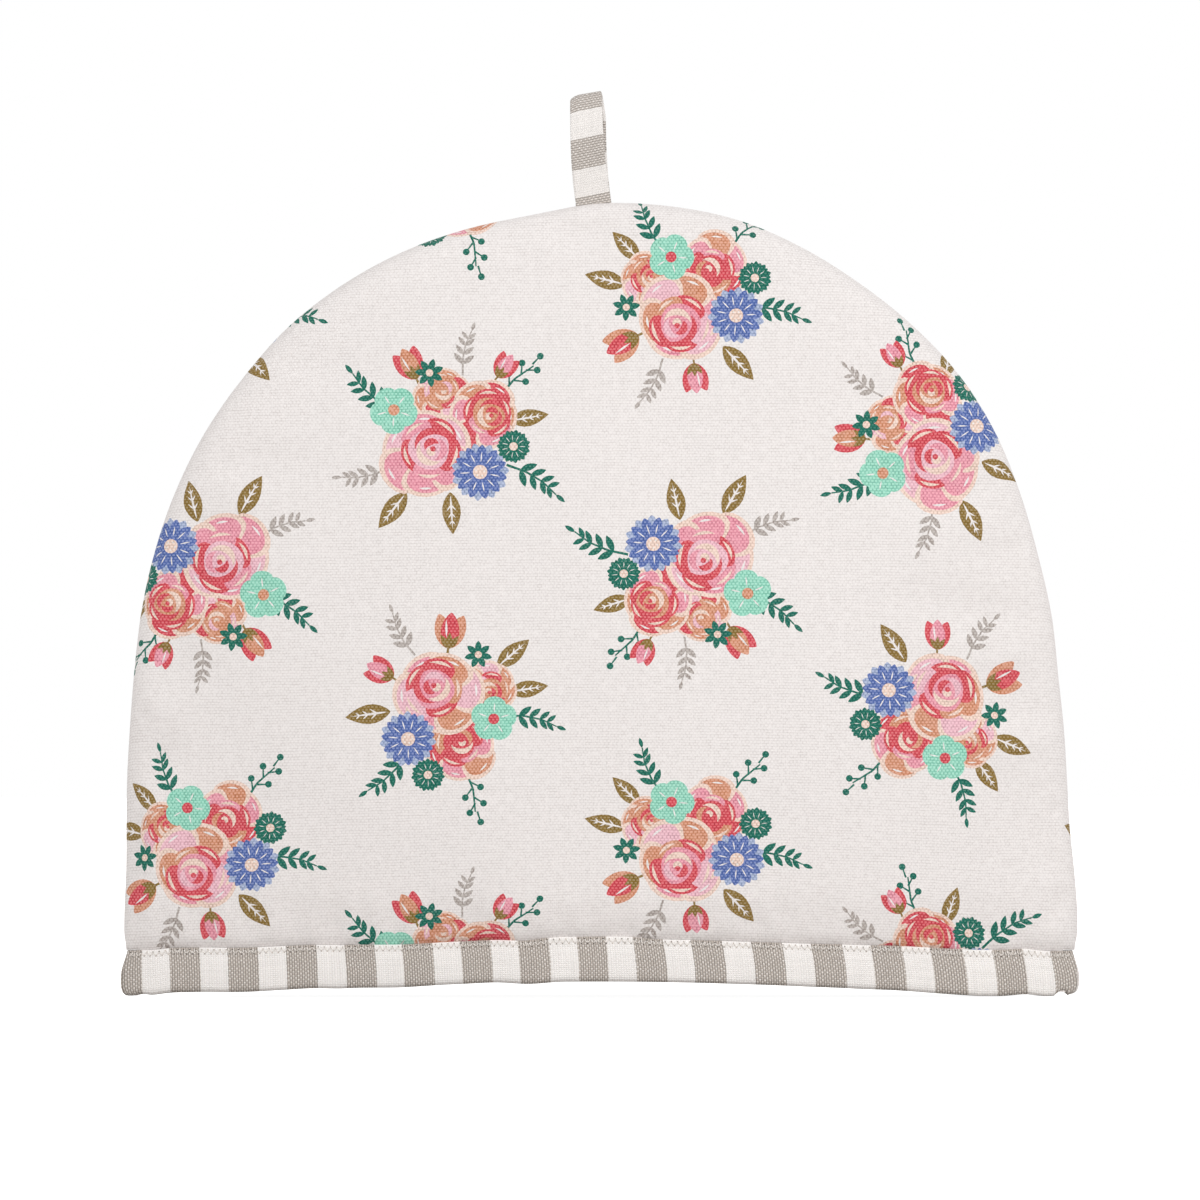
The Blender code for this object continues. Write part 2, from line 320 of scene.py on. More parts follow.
def inner_face(x, z):
    """Distance from the seam plane to the cosy's inner face."""
    open_by = HOLLOW * (1 - fraction_out(x, z) ** 2) ** HOLLOW_POWER
    return SEAM_TOUCH + open_by + held_open(x, z)


def lifted(x, z):
    """Height of a point once the hem bows up."""
    out = np.minimum(np.abs(x) / LIFT_HALF, 1.0)
    fade = np.clip(1 - z / HEIGHT, 0.0, 1.0) ** LIFT_FADE
    return z + LIFT * (1 - out**2) ** LIFT_POWER * fade


def risen(x, z, side):
    """Height that a hem gains over its even bow: the front one all of it, the back one a part."""
    share = 1.0 if side == FRONT else BACK_RISE
    return share * eased(x, HEM_RISE) * smooth_step(1 - z / RISE_FADE)


def drawn_in(x, z):
    """How far the side seams are drawn in where the bands are sewn on."""
    near = smooth_step((np.abs(x) - SEAM_DRAW_FROM) / SEAM_DRAW_OVER)
    return -np.sign(x) * SEAM_DRAW * near * bell((z - LEDGE) / SEAM_DRAW_HALF)


def unevenness(x, z):
    """Broad waves of the padding, as the solids have them."""
    return sum(
        size * MM * np.sin(2 * np.pi * (across * x + up * z) / (2 * HALF_WIDTH) + phase)
        for size, across, up, phase in PADDING_WAVES
    )


class Roll:
    """How the outer cloth rolls in to the seam: a quarter ellipse, read off by length of cloth."""

    def __init__(self, thickness):
        turn = np.linspace(0, np.pi / 2, 90)
        self.run = ROLL * (1 - np.cos(turn))
        self.rise = np.sin(turn)
        steps = np.hypot(np.diff(self.run), (thickness - CLOTH_EDGE) * np.diff(self.rise))
        self.arc = np.concatenate([[0.0], np.cumsum(steps)])
        self.extra = self.arc[-1] - ROLL  # the flat cloth is cut this much larger

    def laid(self, xc, zc):
        """Where a point of the flat cloth comes to lie, and its share of the full thickness."""
        angle = bearing(xc, zc)
        out = np.maximum(np.hypot(xc, zc), 1e-9)
        edge = reach(angle)
        along = np.clip(edge + self.extra - out, 0.0, None)
        beyond = np.maximum(along - self.arc[-1], 0.0)
        share = (edge - np.interp(along, self.arc, self.run) - beyond) / out
        return xc * share, zc * share, np.interp(along, self.arc, self.rise), along


def puckers(x, z, along):
    """Small ripples where the cloth is gathered into its seams, as extra thickness."""
    run = np.radians(bearing(x, z)) * reach(bearing(x, z)) / MM
    across = x / MM
    rising = np.clip(z - LEDGE, 0.0, None)
    dome = gathered(wavy(run, *DOME_WAVE), along, SEAM_PUCKER_REACH)
    hem = gathered(wavy(across, *HEM_WAVE), rising, HEM_PUCKER_REACH)
    total = SEAM_PUCKER * dome + HEM_PUCKER * hem
    for middle, depth, half, height in DIPS:
        shape = bell((across - middle) / half) * bell(rising / (height * MM))
        total = total - depth * shape * np.clip(rising / (2 * MM), 0.0, 1.0)
    return total * MM


def canvas_point(xc, zc, side, roll, padding):
    """A point of the flat printed cloth, laid over the padding."""
    x, z, rise, along = roll.laid(xc, zc)
    crease = COVER + BAND_CORE
    full = crease + (padding - crease) * fill_out(z - LEDGE, CREASE_HEIGHT)
    full = full + unevenness(x, z) * fill_out(z - LEDGE, SKIRT_TOP) + puckers(x, z, along)
    depth = inner_face(x, z) + CLOTH_EDGE + (full - CLOTH_EDGE) * rise
    return np.stack([x + drawn_in(x, z), side * depth, lifted(x, z) + risen(x, z, side)], axis=1)


def lining_point(x, z, side):
    """A point of the panel's inner face, which steps in behind the band."""
    above = 1 - fill_out(z - LEDGE, LINING_STEP)
    step = COVER * above * np.clip(from_seam(x, z) / LINING_STEP, 0.0, 1.0)
    height = lifted(x, z) + risen(x, z, side)
    return np.stack([x + drawn_in(x, z), side * (inner_face(x, z) + step), height], axis=1)


# ---- cutting cloth to shape -------------------------------------------------------------------


def evenly(points, spacing):
    """Points at even spacing along a line, its two ends kept."""
    points = np.asarray(points, float)
    run = np.concatenate([[0.0], np.cumsum(np.hypot(*np.diff(points, axis=0).T))])
    at = np.linspace(0, run[-1], max(int(round(run[-1] / spacing)), 1) + 1)
    return np.stack([np.interp(at, run, points[:, k]) for k in (0, 1)], axis=1)


def cut_outline(roll, spacing):
    """The panel's flat outline, from the lower left corner round by the right."""
    angle = np.linspace(0, 180, DOME_SAMPLES + 1)
    out = reach(angle) + roll.extra
    height = out * np.sin(np.radians(angle))
    right, left = (
        np.interp(LEDGE, height[::way][:LOW_SAMPLES], angle[::way][:LOW_SAMPLES])
        for way in (1, -1)
    )
    angle = np.linspace(right, left, DOME_SAMPLES)
    out = reach(angle) + roll.extra
    turn = np.radians(angle)
    dome = np.stack([out * np.cos(turn), out * np.sin(turn)], axis=1)
    dome[0, 1] = dome[-1, 1] = LEDGE
    runs = [
        [(-PRESSED_EDGE, COVER), (PRESSED_EDGE, COVER)],
        [(PRESSED_EDGE, COVER), (PRESSED_EDGE, LEDGE)],
        [(PRESSED_EDGE, LEDGE), dome[0]],
        dome,
        [dome[-1], (-PRESSED_EDGE, LEDGE)],
        [(-PRESSED_EDGE, LEDGE), (-PRESSED_EDGE, COVER)],
    ]
    return np.concatenate([evenly(run, spacing)[:-1] for run in runs])


def cut_grid(roll, spacing):
    """Points inside that outline: level rows by the band and an even honeycomb above."""
    rows = [COVER + (LEDGE - COVER) * k / 3 for k in (1, 2)]
    rows += [LEDGE + row for row in CREASE_ROWS]
    rise = spacing * np.sqrt(3) / 2
    rows += list(np.arange(rows[-1] + rise, HEIGHT + 4 * MM, rise))
    found = []
    for k, zc in enumerate(rows):
        xc = np.arange(-HALF_WIDTH, HALF_WIDTH, spacing) + (k % 2) * spacing / 2
        room = reach(bearing(xc, zc)) + roll.extra - np.hypot(xc, zc)
        keep = room > 0.6 * spacing
        if zc < LEDGE:
            keep &= np.abs(xc) < PRESSED_EDGE - spacing / 2
        found.append(np.stack([xc[keep], np.full(keep.sum(), zc)], axis=1))
    return np.concatenate(found)


def triangulated(outline, inside, shapes=()):
    """Triangles over a flat outline, with the edges of printed shapes cut into them.

    Returns the points, the triangles, the uppermost shape on each (-1 for none) and, for each
    point, which point of the outline it is (-1 for none).
    """
    points = [*outline, *inside]
    faces = [list(range(len(outline)))]
    for shape in shapes:
        faces.append(list(range(len(points), len(points) + len(shape))))
        points += list(shape)
    flat, _, found, origin, _, owners = delaunay_2d_cdt(
        [Vector((p[0] / MM, p[1] / MM)) for p in points], [], faces, 0, JOIN, True
    )
    kept = [k for k, owner in enumerate(owners) if 0 in owner]
    triangles = np.array([found[k] for k in kept])
    uppermost = np.array([max(owners[k]) - 1 for k in kept])
    rim = [min((k for k in o if k < len(outline)), default=-1) for o in origin]
    return np.array(flat) * MM, triangles, uppermost, np.array(rim)


def border(triangles):
    """The outer edge of a patch of triangles, as one loop of points in their winding."""
    edges = np.concatenate([triangles[:, [0, 1]], triangles[:, [1, 2]], triangles[:, [2, 0]]])
    there = {(int(a), int(b)) for a, b in edges}
    after = {a: b for a, b in there if (b, a) not in there}
    loop = [min(after)]
    while after[loop[-1]] != loop[0]:
        loop.append(after[loop[-1]])
    return np.array(loop)


def read_off(flat, triangles, values, at):
    """Values known at the corners of one set of triangles, read off at other points."""
    corners = [Vector((x, z, 0)) for x, z in flat]
    tree = BVHTree.FromPolygons(corners, [tuple(map(int, t)) for t in triangles])
    read = np.zeros((len(at), values.shape[1]))
    for k, (x, z) in enumerate(at):
        place, _, index, _ = tree.find_nearest(Vector((x, z, 0)))
        three = triangles[index]
        weights = poly_3d_calc([corners[c] for c in three], place)
        read[k] = np.asarray(weights) @ values[three]
    return read


def settle(triangles, points, held, easing):
    """Lets a padded cloth find its own small folds, and returns how far each point moved.

    The cloth is a little larger than its place (easing), is held where it is sewn, and is pressed
    outwards by the padding.
    """
    made = new_piece("settling", points, triangles, [], body=None)
    group = made.vertex_groups.new(name="sewn")
    group.add([int(k) for k in np.flatnonzero(held)], 1.0, "REPLACE")
    modifier = made.modifiers.new("Cloth", "CLOTH")
    cloth = modifier.settings
    cloth.vertex_group_mass = "sewn"
    cloth.quality = 6
    cloth.mass = 0.25
    cloth.tension_stiffness = cloth.compression_stiffness = 18
    cloth.shear_stiffness = 8
    cloth.bending_stiffness = 4
    cloth.shrink_min = -easing
    cloth.use_pressure = True
    cloth.uniform_pressure_force = 1.2
    cloth.effector_weights.gravity = 0
    scene = bpy.context.scene
    for number in range(1, SETTLE_FRAMES + 1):
        scene.frame_set(number)
    seen = made.evaluated_get(bpy.context.evaluated_depsgraph_get()).to_mesh()
    ended = np.zeros(3 * len(seen.vertices))
    seen.vertices.foreach_get("co", ended)
    moved = ended.reshape(-1, 3) - points
    mesh = made.data
    bpy.data.objects.remove(made, do_unlink=True)
    bpy.data.meshes.remove(mesh)
    scene.frame_set(1)
    return moved


# ---- the printed posies, drawn in mm round their own middle -------------------------------------


def placed(shape, x, y, turn, size=1.0):
    """A shape made larger or smaller, turned by degrees and moved to x, y."""
    c, s = np.cos(np.radians(turn)), np.sin(np.radians(turn))
    across, up = (np.asarray(shape, float) * size).T
    return np.stack([x + across * c - up * s, y + across * s + up * c], 1)


def blade(x, y, length, width, turn, belly=1.0, blunt=1.0, count=11):
    """A leaf or petal from its foot at x, y. Belly moves its widest part towards the tip, and a
    blunt below 1 rounds its ends."""
    t = (1 - np.cos(np.pi * np.arange(count) / (count - 1))) / 2
    half = width / 2 * np.sin(np.pi * t**belly) ** blunt
    half[0] = half[-1] = 0
    edge = np.stack([length * t, half], 1)
    return placed(np.concatenate([edge, (edge * (1, -1))[-2:0:-1]])[::-1], x, y, turn)


def disc(x, y, radius, count=12, wobble=0.0):
    """A round dot, which may wobble a little."""
    t = 2 * np.pi * np.arange(count) / count
    r = radius * (1 + wobble * np.sin(3 * t + x))
    return np.stack([x + r * np.cos(t), y + r * np.sin(t)], 1)


def stroke(points, width):
    """A drawn line that thins towards its end."""
    points = evenly(points, 1.2)
    way = np.gradient(points, axis=0)
    way /= np.hypot(*way.T)[:, None]
    across = np.stack([-way[:, 1], way[:, 0]], 1)
    half = width / 2 * np.linspace(1, 0.55, len(points))[:, None]
    return np.concatenate([points - across * half, (points + across * half)[::-1]])


def ring_of(count, x, y, start, reach_in, length, width, turn, belly, blunt):
    """Petals set round a middle."""
    found = []
    for k in range(count):
        angle = turn + start + 360 * k / count
        near = placed([(reach_in, 0)], x, y, angle)[0]
        found.append(blade(*near, length, width, angle, belly, blunt))
    return found


def crescent(x, y, radius, thickness, start, sweep, count=9):
    """A curved sliver round a point, widest in its middle."""
    t = np.arange(count) / (count - 1)
    angle = np.radians(start + sweep * t)
    way = np.stack([np.cos(angle), np.sin(angle)], 1)
    half = (thickness / 2 * np.sin(np.pi * t))[:, None]
    return np.concatenate([way * (radius + half), (way * (radius - half))[-2:0:-1]]) + (x, y)


def draw_rose(x, y, size, turn, inks):
    """A full garden rose: broad outer petals in two inks, a cup, and folds curled round a heart
    that sits off its middle."""
    first, second, edge, deep, warm = inks
    made = []
    for k, ink in enumerate((first, second, first, warm, second, warm)):
        angle = turn + 60 * k
        far = size * (0.95 + 0.07 * np.sin(2.3 * k + turn))
        made.append((edge, blade(x, y, far, 1.04 * size, angle, 1.6, 0.5)))
        made.append((ink, blade(x, y, 0.91 * far, 0.90 * size, angle + 5, 1.6, 0.5)))
        made.append(("paper", crescent(x, y, 0.80 * far, 0.05 * size, angle - 12, 22, 5)))
    x, y = placed([(0.13 * size, 0.05 * size)], x, y, turn)[0]
    for k, ink in enumerate((deep, second, deep, warm, deep)):
        angle = turn + 25 + 72 * k
        far = size * (0.64 + 0.05 * np.sin(1.9 * k + turn))
        made.append((ink, blade(x, y, far, 0.72 * size, angle, 1.6, 0.5)))
        made.append((edge, crescent(x, y, 0.86 * far, 0.07 * size, angle - 28, 50, 7)))
    made.append((first, disc(x, y, 0.43 * size, 16, 0.04)))
    x, y = placed([(0.07 * size, -0.04 * size)], x, y, turn)[0]
    for k, ink in enumerate((deep, edge, second, deep, edge)):
        radius = (0.37 - 0.07 * k) * size
        made.append((ink, crescent(x, y, radius, 0.15 * size, turn + 122 * k, 150)))
    made.append((deep, disc(x, y, 0.06 * size, 8)))
    return made


def draw_aster(x, y, size, turn, inks):
    """A daisy-like flower with many narrow petals in two tones."""
    petal, shade, eye = inks
    made = []
    for ink, start, foot, length, width, belly, blunt in (
        (shade, 16, 0, 1, 0.40, 1.5, 0.7),
        (petal, 0, 0, 0.94, 0.36, 1.5, 0.7),
        ("paper", 0, 0.34, 0.36, 0.045, 1, 1),
    ):
        foot, length, width = foot * size, length * size, width * size
        ring = ring_of(11, x, y, start, foot, length, width, turn, belly, blunt)
        made += [(ink, shape) for shape in ring]
    made.append((eye, disc(x, y, 0.25 * size, 14)))
    for k in range(5):
        middle = placed([(0.15 * size, 0)], x, y, 72 * k)[0]
        made.append(("paper", disc(*middle, 0.035 * size, 6)))
    return made


def draw_blossom(x, y, size, turn, inks):
    """A small round blossom with five petals."""
    petal, line, eye = inks
    lines = ring_of(5, x, y, 0, 0.3 * size, 0.42 * size, 0.06 * size, turn, 1, 1)
    made = [(petal, s) for s in ring_of(5, x, y, 0, 0, size, 0.98 * size, turn, 1.5, 0.5)]
    made += [(line, s) for s in lines]
    made.append((eye, disc(x, y, 0.24 * size, 12)))
    return made


def draw_star(x, y, size, turn, inks):
    """A small pointed flower."""
    petal, eye = inks
    made = [(petal, s) for s in ring_of(7, x, y, 0, 0, size, 0.46 * size, turn, 1.2, 0.8)]
    made.append((eye, disc(x, y, 0.26 * size, 10)))
    return made


def draw_bud(x, y, size, turn, inks):
    """A half-open bud on its stalk, pointing along its turn."""
    near, far, cup = inks
    stalk = placed([(-0.9, -0.12), (-0.4, 0.03), (0.1, 0)], x, y, turn, size)
    made = [(cup, stroke(stalk, 0.11 * size))]
    for angle, ink, width in ((20, far, 0.5), (-20, far, 0.5), (0, near, 0.52)):
        made.append((ink, blade(x, y, size, width * size, turn + angle, 0.9, 0.7)))
    glint = placed([(0.3 * size, 0.08 * size)], x, y, turn)[0]
    made.append(("paper", blade(*glint, 0.5 * size, 0.06 * size, turn + 6)))
    for angle in (34, -34, 0):
        made.append((cup, blade(x, y, 0.45 * size, 0.18 * size, turn + angle, 0.8)))
    return made


def draw_leaf(x, y, size, turn, inks):
    """A single leaf with its veins left unprinted."""
    green, vein = inks
    made = [(green, blade(x, y, size, 0.44 * size, turn, 0.85, 0.9))]
    foot = placed([(0.08 * size, 0)], x, y, turn)[0]
    made.append((vein, blade(*foot, 0.8 * size, 0.05 * size, turn, 0.7)))
    for share in (0.3, 0.5, 0.68):
        foot = placed([(share * size, 0)], x, y, turn)[0]
        length = 0.2 * size * (1.25 - share)
        for lean in (38, -38):
            made.append((vein, blade(*foot, length, 0.035 * size, turn + lean, 0.7)))
    return made


def draw_sprig(x, y, size, turn, inks):
    """A curved stem with paired leaves that grow smaller to the tip."""
    green, = inks
    bend = [(0.0, 0.0), (0.35, 0.05), (0.7, 0.03), (1.0, -0.06)]
    stem = evenly(placed(bend, x, y, turn, size), 0.05 * size)
    made = [(green, stroke(stem, 0.045 * size))]
    last = len(stem) - 1
    for share in (0.25, 0.45, 0.65, 0.83):
        foot = stem[int(share * last)]
        for lean in (46, -46):
            length = 0.30 * size * (1.15 - 0.5 * share)
            made.append((green, blade(*foot, length, 0.4 * length, turn + lean, 0.95, 0.8)))
    made.append((green, blade(*stem[-1], 0.2 * size, 0.08 * size, turn - 12, 0.95, 0.8)))
    return made


def draw_berries(x, y, size, turn, inks):
    """A forked stem of small berries."""
    stem, berry = inks
    bend = placed([(0, 0), (0.4, 0.06), (0.85, 0.0)], x, y, turn, size)
    made = [(stem, stroke(bend, 0.05 * size))]
    for share, lean in ((0.25, 50), (0.38, -48), (0.56, 44), (0.68, -42), (0.85, 4)):
        foot = placed([(share, 0.04)], x, y, turn, size)[0]
        tip = placed([(0.22 * size, 0)], *foot, turn + lean)[0]
        made.append((stem, stroke([foot, tip], 0.04 * size)))
        made.append((berry, disc(*tip, 0.068 * size, 10)))
    return made


DRAW = {
    "rose": draw_rose, "aster": draw_aster, "blossom": draw_blossom, "star": draw_star,
    "bud": draw_bud, "leaf": draw_leaf, "sprig": draw_sprig, "berries": draw_berries,
}

# Two posies, from the lowest motif to the uppermost: what, x, y, size, turn, inks
ARCHED_POSY = (
    ("sprig", -15, 12, 19, 130, ("teal",)),
    ("sprig", 17, -13, 19, -40, ("teal",)),
    ("sprig", -21, -6, 16, 182, ("grey",)),
    ("sprig", 9, 19, 15, 70, ("grey",)),
    ("berries", 20, 10, 17, 30, ("teal", "teal")),
    ("leaf", -17, -15, 15, 220, ("olive", "paper")),
    ("leaf", -3, -18, 14, 262, ("olive", "paper")),
    ("leaf", 21, 1, 13, -2, ("olive", "paper")),
    ("bud", -6, 21, 11, 104, ("salmon", "coral", "olive")),
    ("bud", 20, 16, 9, 44, ("pink", "coral", "olive")),
    ("rose", 1, 14, 9.8, 60, ("salmon", "blush", "peach", "salmon", "coral")),
    ("rose", 13, 4.5, 12.6, -14, ("salmon", "coral", "peach", "coral", "pink")),
    ("rose", -8.5, -4, 15.8, 20, ("blush", "pink", "peach", "coral", "pink")),
    ("aster", 8, -13.5, 9.6, 8, ("periwinkle", "mist", "peach")),
    ("blossom", -15.5, 12.5, 8.0, 40, ("mint", "paper", "salmon")),
    ("aster", 20.5, -7.5, 5.6, 20, ("teal", "teal", "peach")),
    ("star", -1.5, 22, 4.8, 10, ("teal", "peach")),
)
TRAILING_POSY = (
    ("sprig", -17, 9, 18, 152, ("teal",)),
    ("sprig", 3, -19, 17, -84, ("teal",)),
    ("sprig", 15, 15, 16, 46, ("grey",)),
    ("berries", -18, -11, 17, 208, ("teal", "teal")),
    ("leaf", -5, 18, 15, 112, ("olive", "paper")),
    ("leaf", 18, -12, 14, -34, ("olive", "paper")),
    ("leaf", 11, -18, 13, -66, ("olive", "paper")),
    ("bud", 20, 5, 12, 10, ("coral", "salmon", "olive")),
    ("bud", 6, 20, 10, 76, ("pink", "coral", "olive")),
    ("rose", 11, -11, 9.6, 200, ("salmon", "salmon", "peach", "coral", "blush")),
    ("rose", -11, -7.5, 12.4, 5, ("coral", "salmon", "peach", "coral", "pink")),
    ("rose", 5, 4, 15.4, 50, ("pink", "blush", "peach", "coral", "salmon")),
    ("aster", -12.5, 10, 9.4, 0, ("periwinkle", "mist", "peach")),
    ("blossom", 1, -15.5, 7.6, 12, ("mint", "paper", "coral")),
    ("aster", -22.5, 0.5, 5.6, 0, ("teal", "teal", "peach")),
    ("star", 20.5, -5, 4.6, 15, ("teal", "peach")),
)
POSY_SIZE = 1.08
HEAVY = {"teal": 1.24, "olive": 1.15, "coral": 1.12, "periwinkle": 1.1}  # inks that cover more
# Where posies fall: columns side by side, every second one raised by half a repeat, in mm
REPEAT_ACROSS = 86.0
REPEAT_UP = 98.0
COLUMNS = range(-3, 4)
ROWS = range(-1, 5)
POSY_TURNS = (12, -160, 75, 200)
FIRST_POSY = {FRONT: (-54.0, 3.0), BACK: (-20.0, 40.0)}


def draw_posy(rows):
    """Every shape of a posy with its ink, the lowest first."""
    return [part for kind, *where, inks in rows for part in DRAW[kind](*where, inks)]


def print_layout(first_x, first_y):
    """Every printed shape that may fall on a panel, in metres, with its ink."""
    posies = (draw_posy(ARCHED_POSY), draw_posy(TRAILING_POSY))
    shapes = []
    for column in COLUMNS:
        for row in ROWS:
            x = first_x + column * REPEAT_ACROSS
            y = first_y + (row + 0.5 * (column % 2)) * REPEAT_UP
            turn = POSY_TURNS[(column + 2 * row) % 4]
            posy = posies[(column + row) % 2]
            shapes += [(ink, placed(shape, x, y, turn, POSY_SIZE) * MM) for ink, shape in posy]
    return shapes


# ---- materials --------------------------------------------------------------------------------


def new_look(name, **surface):
    """A Principled material; its even values are set on the shader's own sockets."""
    look = bpy.data.materials.new(name)
    look.use_nodes = True
    shader = look.node_tree.nodes["Principled BSDF"]
    for socket, value in surface.items():
        shader.inputs[socket.replace("_", " ")].default_value = value
    return look, look.node_tree, shader


def streaks(tree, where, along, across, detail):
    """Two noises of long grains, the first along the weft and the second along the warp, with so
    many grains to the metre along and across them."""
    found = []
    for stretch in ((along, across, 1.0), (across, along, 1.0)):
        laid = add(tree, "ShaderNodeVectorMath", {0: where, 1: stretch}, operation="MULTIPLY")
        noise = add(tree, "ShaderNodeTexNoise", {
            "Vector": laid.outputs[0], "Scale": 1.0, "Detail": detail,
        })
        found.append(noise.outputs[0])
    return found


def dress(tree, shader, colour, tone, relief=None, strength=0.0, distance=0.0):
    """Ends a material: its colour, made lighter or darker by tone, and its relief as a bump."""
    final = add(tree, "ShaderNodeVectorMath", {0: colour, "Scale": tone}, operation="SCALE")
    tree.links.new(final.outputs[0], shader.inputs["Base Color"])
    if relief is not None:
        bump = add(tree, "ShaderNodeBump", {
            "Height": relief, "Strength": strength, "Distance": distance,
        })
        tree.links.new(bump.outputs[0], shader.inputs["Normal"])


def woven(tree, across, up, wander):
    """Nodes of a plain weave on the cloth's own coordinates, its warp threads `across` metres
    apart and its weft threads `up` metres apart, which stray by `wander`.

    Returns the coordinates, how near a point is to the middle of its warp and of its weft thread
    (0 between two threads, 1 on one), which of them is on top (the weft above 0), and the
    threads' uneven thickness.
    """
    uv = add(tree, "ShaderNodeUVMap", uv_map="cloth").outputs[0]
    stray = add(tree, "ShaderNodeTexNoise", {"Vector": uv, "Scale": 260.0, "Detail": 1.0})
    centred = add(tree, "ShaderNodeVectorMath", {0: stray.outputs["Color"], 1: (0.5, 0.5, 0.5)},
                  operation="SUBTRACT").outputs[0]
    shift = add(tree, "ShaderNodeVectorMath", {0: centred, "Scale": wander},
                operation="SCALE").outputs[0]
    lying = add(tree, "ShaderNodeVectorMath", {0: uv, 1: shift}, operation="ADD").outputs[0]
    parts = add(tree, "ShaderNodeSeparateXYZ", {0: lying})
    waves, near = [], []
    for axis, pitch in ((0, across), (1, up)):
        phase = add(tree, "ShaderNodeMath", {0: parts.outputs[axis], 1: np.pi / pitch},
                    operation="MULTIPLY").outputs[0]
        wave = add(tree, "ShaderNodeMath", {0: phase}, operation="SINE").outputs[0]
        waves.append(wave)
        near.append(add(tree, "ShaderNodeMath", {0: wave}, operation="ABSOLUTE").outputs[0])
    over = add(tree, "ShaderNodeMath", {0: waves[0], 1: waves[1]}, operation="MULTIPLY").outputs[0]
    slubs = streaks(tree, lying, 40.0, 900.0, 2.0)
    uneven = add(tree, "ShaderNodeMix", {0: 0.5, 2: slubs[1], 3: slubs[0]}).outputs[0]
    return uv, near[0], near[1], over, uneven


def printed_canvas(ground, shade, across, up):
    """Half-linen canvas, plain woven, with water-based inks that sit thinly on its thread tops.

    The eye sees a warm off-white with staggered rows of small darker dots, where one thread dives
    under the next. The inks are fullest in those dots and lighter on the threads between. The
    threads are 0.45 mm apart on such canvas; they are drawn about twice as coarse, so they show.
    """
    look, tree, shader = new_look(
        "printed half-linen canvas", Roughness=0.86, Sheen_Weight=0.1, Sheen_Roughness=0.5,
        Specular_IOR_Level=0.25,
    )
    uv, warp, weft, over, uneven = woven(tree, across, up, 0.4 * MM)
    ink = add(tree, "ShaderNodeAttribute", attribute_name="ink")
    dots = add(tree, "ShaderNodeMapRange", {0: over, 1: 0.05, 2: 0.85, 3: 0.0, 4: 1.0}).outputs[0]
    furrow = add(tree, "ShaderNodeMapRange", {0: weft, 1: 0.1, 2: 0.85, 3: 0.72, 4: 0.0}).outputs[0]
    # the bare linen shows its rows first, and the dots show best where ink has filled them
    seen = add(tree, "ShaderNodeMath", {0: ink.outputs["Alpha"], 1: 0.3, 2: 0.5},
               operation="MULTIPLY_ADD").outputs[0]
    hollow = add(tree, "ShaderNodeMath", {0: dots, 1: seen, 2: furrow},
                 operation="MULTIPLY_ADD").outputs[0]
    # the threads lie closer in some streaks than in others
    sett = streaks(tree, uv, 300.0, 1500.0, 1.0)
    both = add(tree, "ShaderNodeMix", {0: 0.48, 2: sett[0], 3: sett[1]}).outputs[0]
    loose = add(tree, "ShaderNodeMapRange", {0: both, 1: 0.36, 2: 0.64, 3: 0.3, 4: 1.75}).outputs[0]
    deep = add(tree, "ShaderNodeMath", {0: hollow, 1: loose}, operation="MULTIPLY").outputs[0]
    # the ink takes a little unevenly
    patchy = add(tree, "ShaderNodeTexNoise", {"Vector": uv, "Scale": 160.0, "Detail": 2.0})
    density = add(tree, "ShaderNodeMapRange", {
        0: patchy.outputs[0], 1: 0.3, 2: 0.7, 3: 0.92, 4: 1.0,
    }).outputs[0]
    tops = add(tree, "ShaderNodeMapRange", {0: deep, 1: 0.0, 2: 0.7, 3: 0.78, 4: 1.0}).outputs[0]
    takes = add(tree, "ShaderNodeMath", {0: density, 1: tops}, operation="MULTIPLY").outputs[0]
    covered = add(tree, "ShaderNodeMath", {0: takes, 1: ink.outputs["Alpha"]},
                  operation="MULTIPLY").outputs[0]
    printed = add(tree, "ShaderNodeMix", {0: covered, 6: (*ground, 1), 7: ink.outputs["Color"]},
                  data_type="RGBA").outputs[2]
    # the dots are in shadow, more so under ink
    weight = add(tree, "ShaderNodeMath", {0: ink.outputs["Alpha"], 1: 0.14, 2: 0.26},
                 operation="MULTIPLY_ADD").outputs[0]
    shadow = add(tree, "ShaderNodeMath", {0: deep, 1: weight}, operation="MULTIPLY").outputs[0]
    shaded = add(tree, "ShaderNodeMix", {0: shadow, 6: printed, 7: (*shade, 1)}, data_type="RGBA",
                 blend_type="MULTIPLY").outputs[2]
    nep = add(tree, "ShaderNodeTexNoise", {"Vector": uv, "Scale": 1600.0, "Detail": 1.0}).outputs[0]
    mottle = add(tree, "ShaderNodeMix", {0: 0.45, 2: uneven, 3: nep}).outputs[0]
    tone = add(tree, "ShaderNodeMapRange", {
        0: mottle, 1: 0.35, 2: 0.65, 3: 0.953, 4: 1.036,
    }).outputs[0]
    height = add(tree, "ShaderNodeMath", {0: warp, 1: weft}, operation="MULTIPLY").outputs[0]
    dress(tree, shader, shaded, tone, height, strength=0.35, distance=0.2 * MM)
    return look


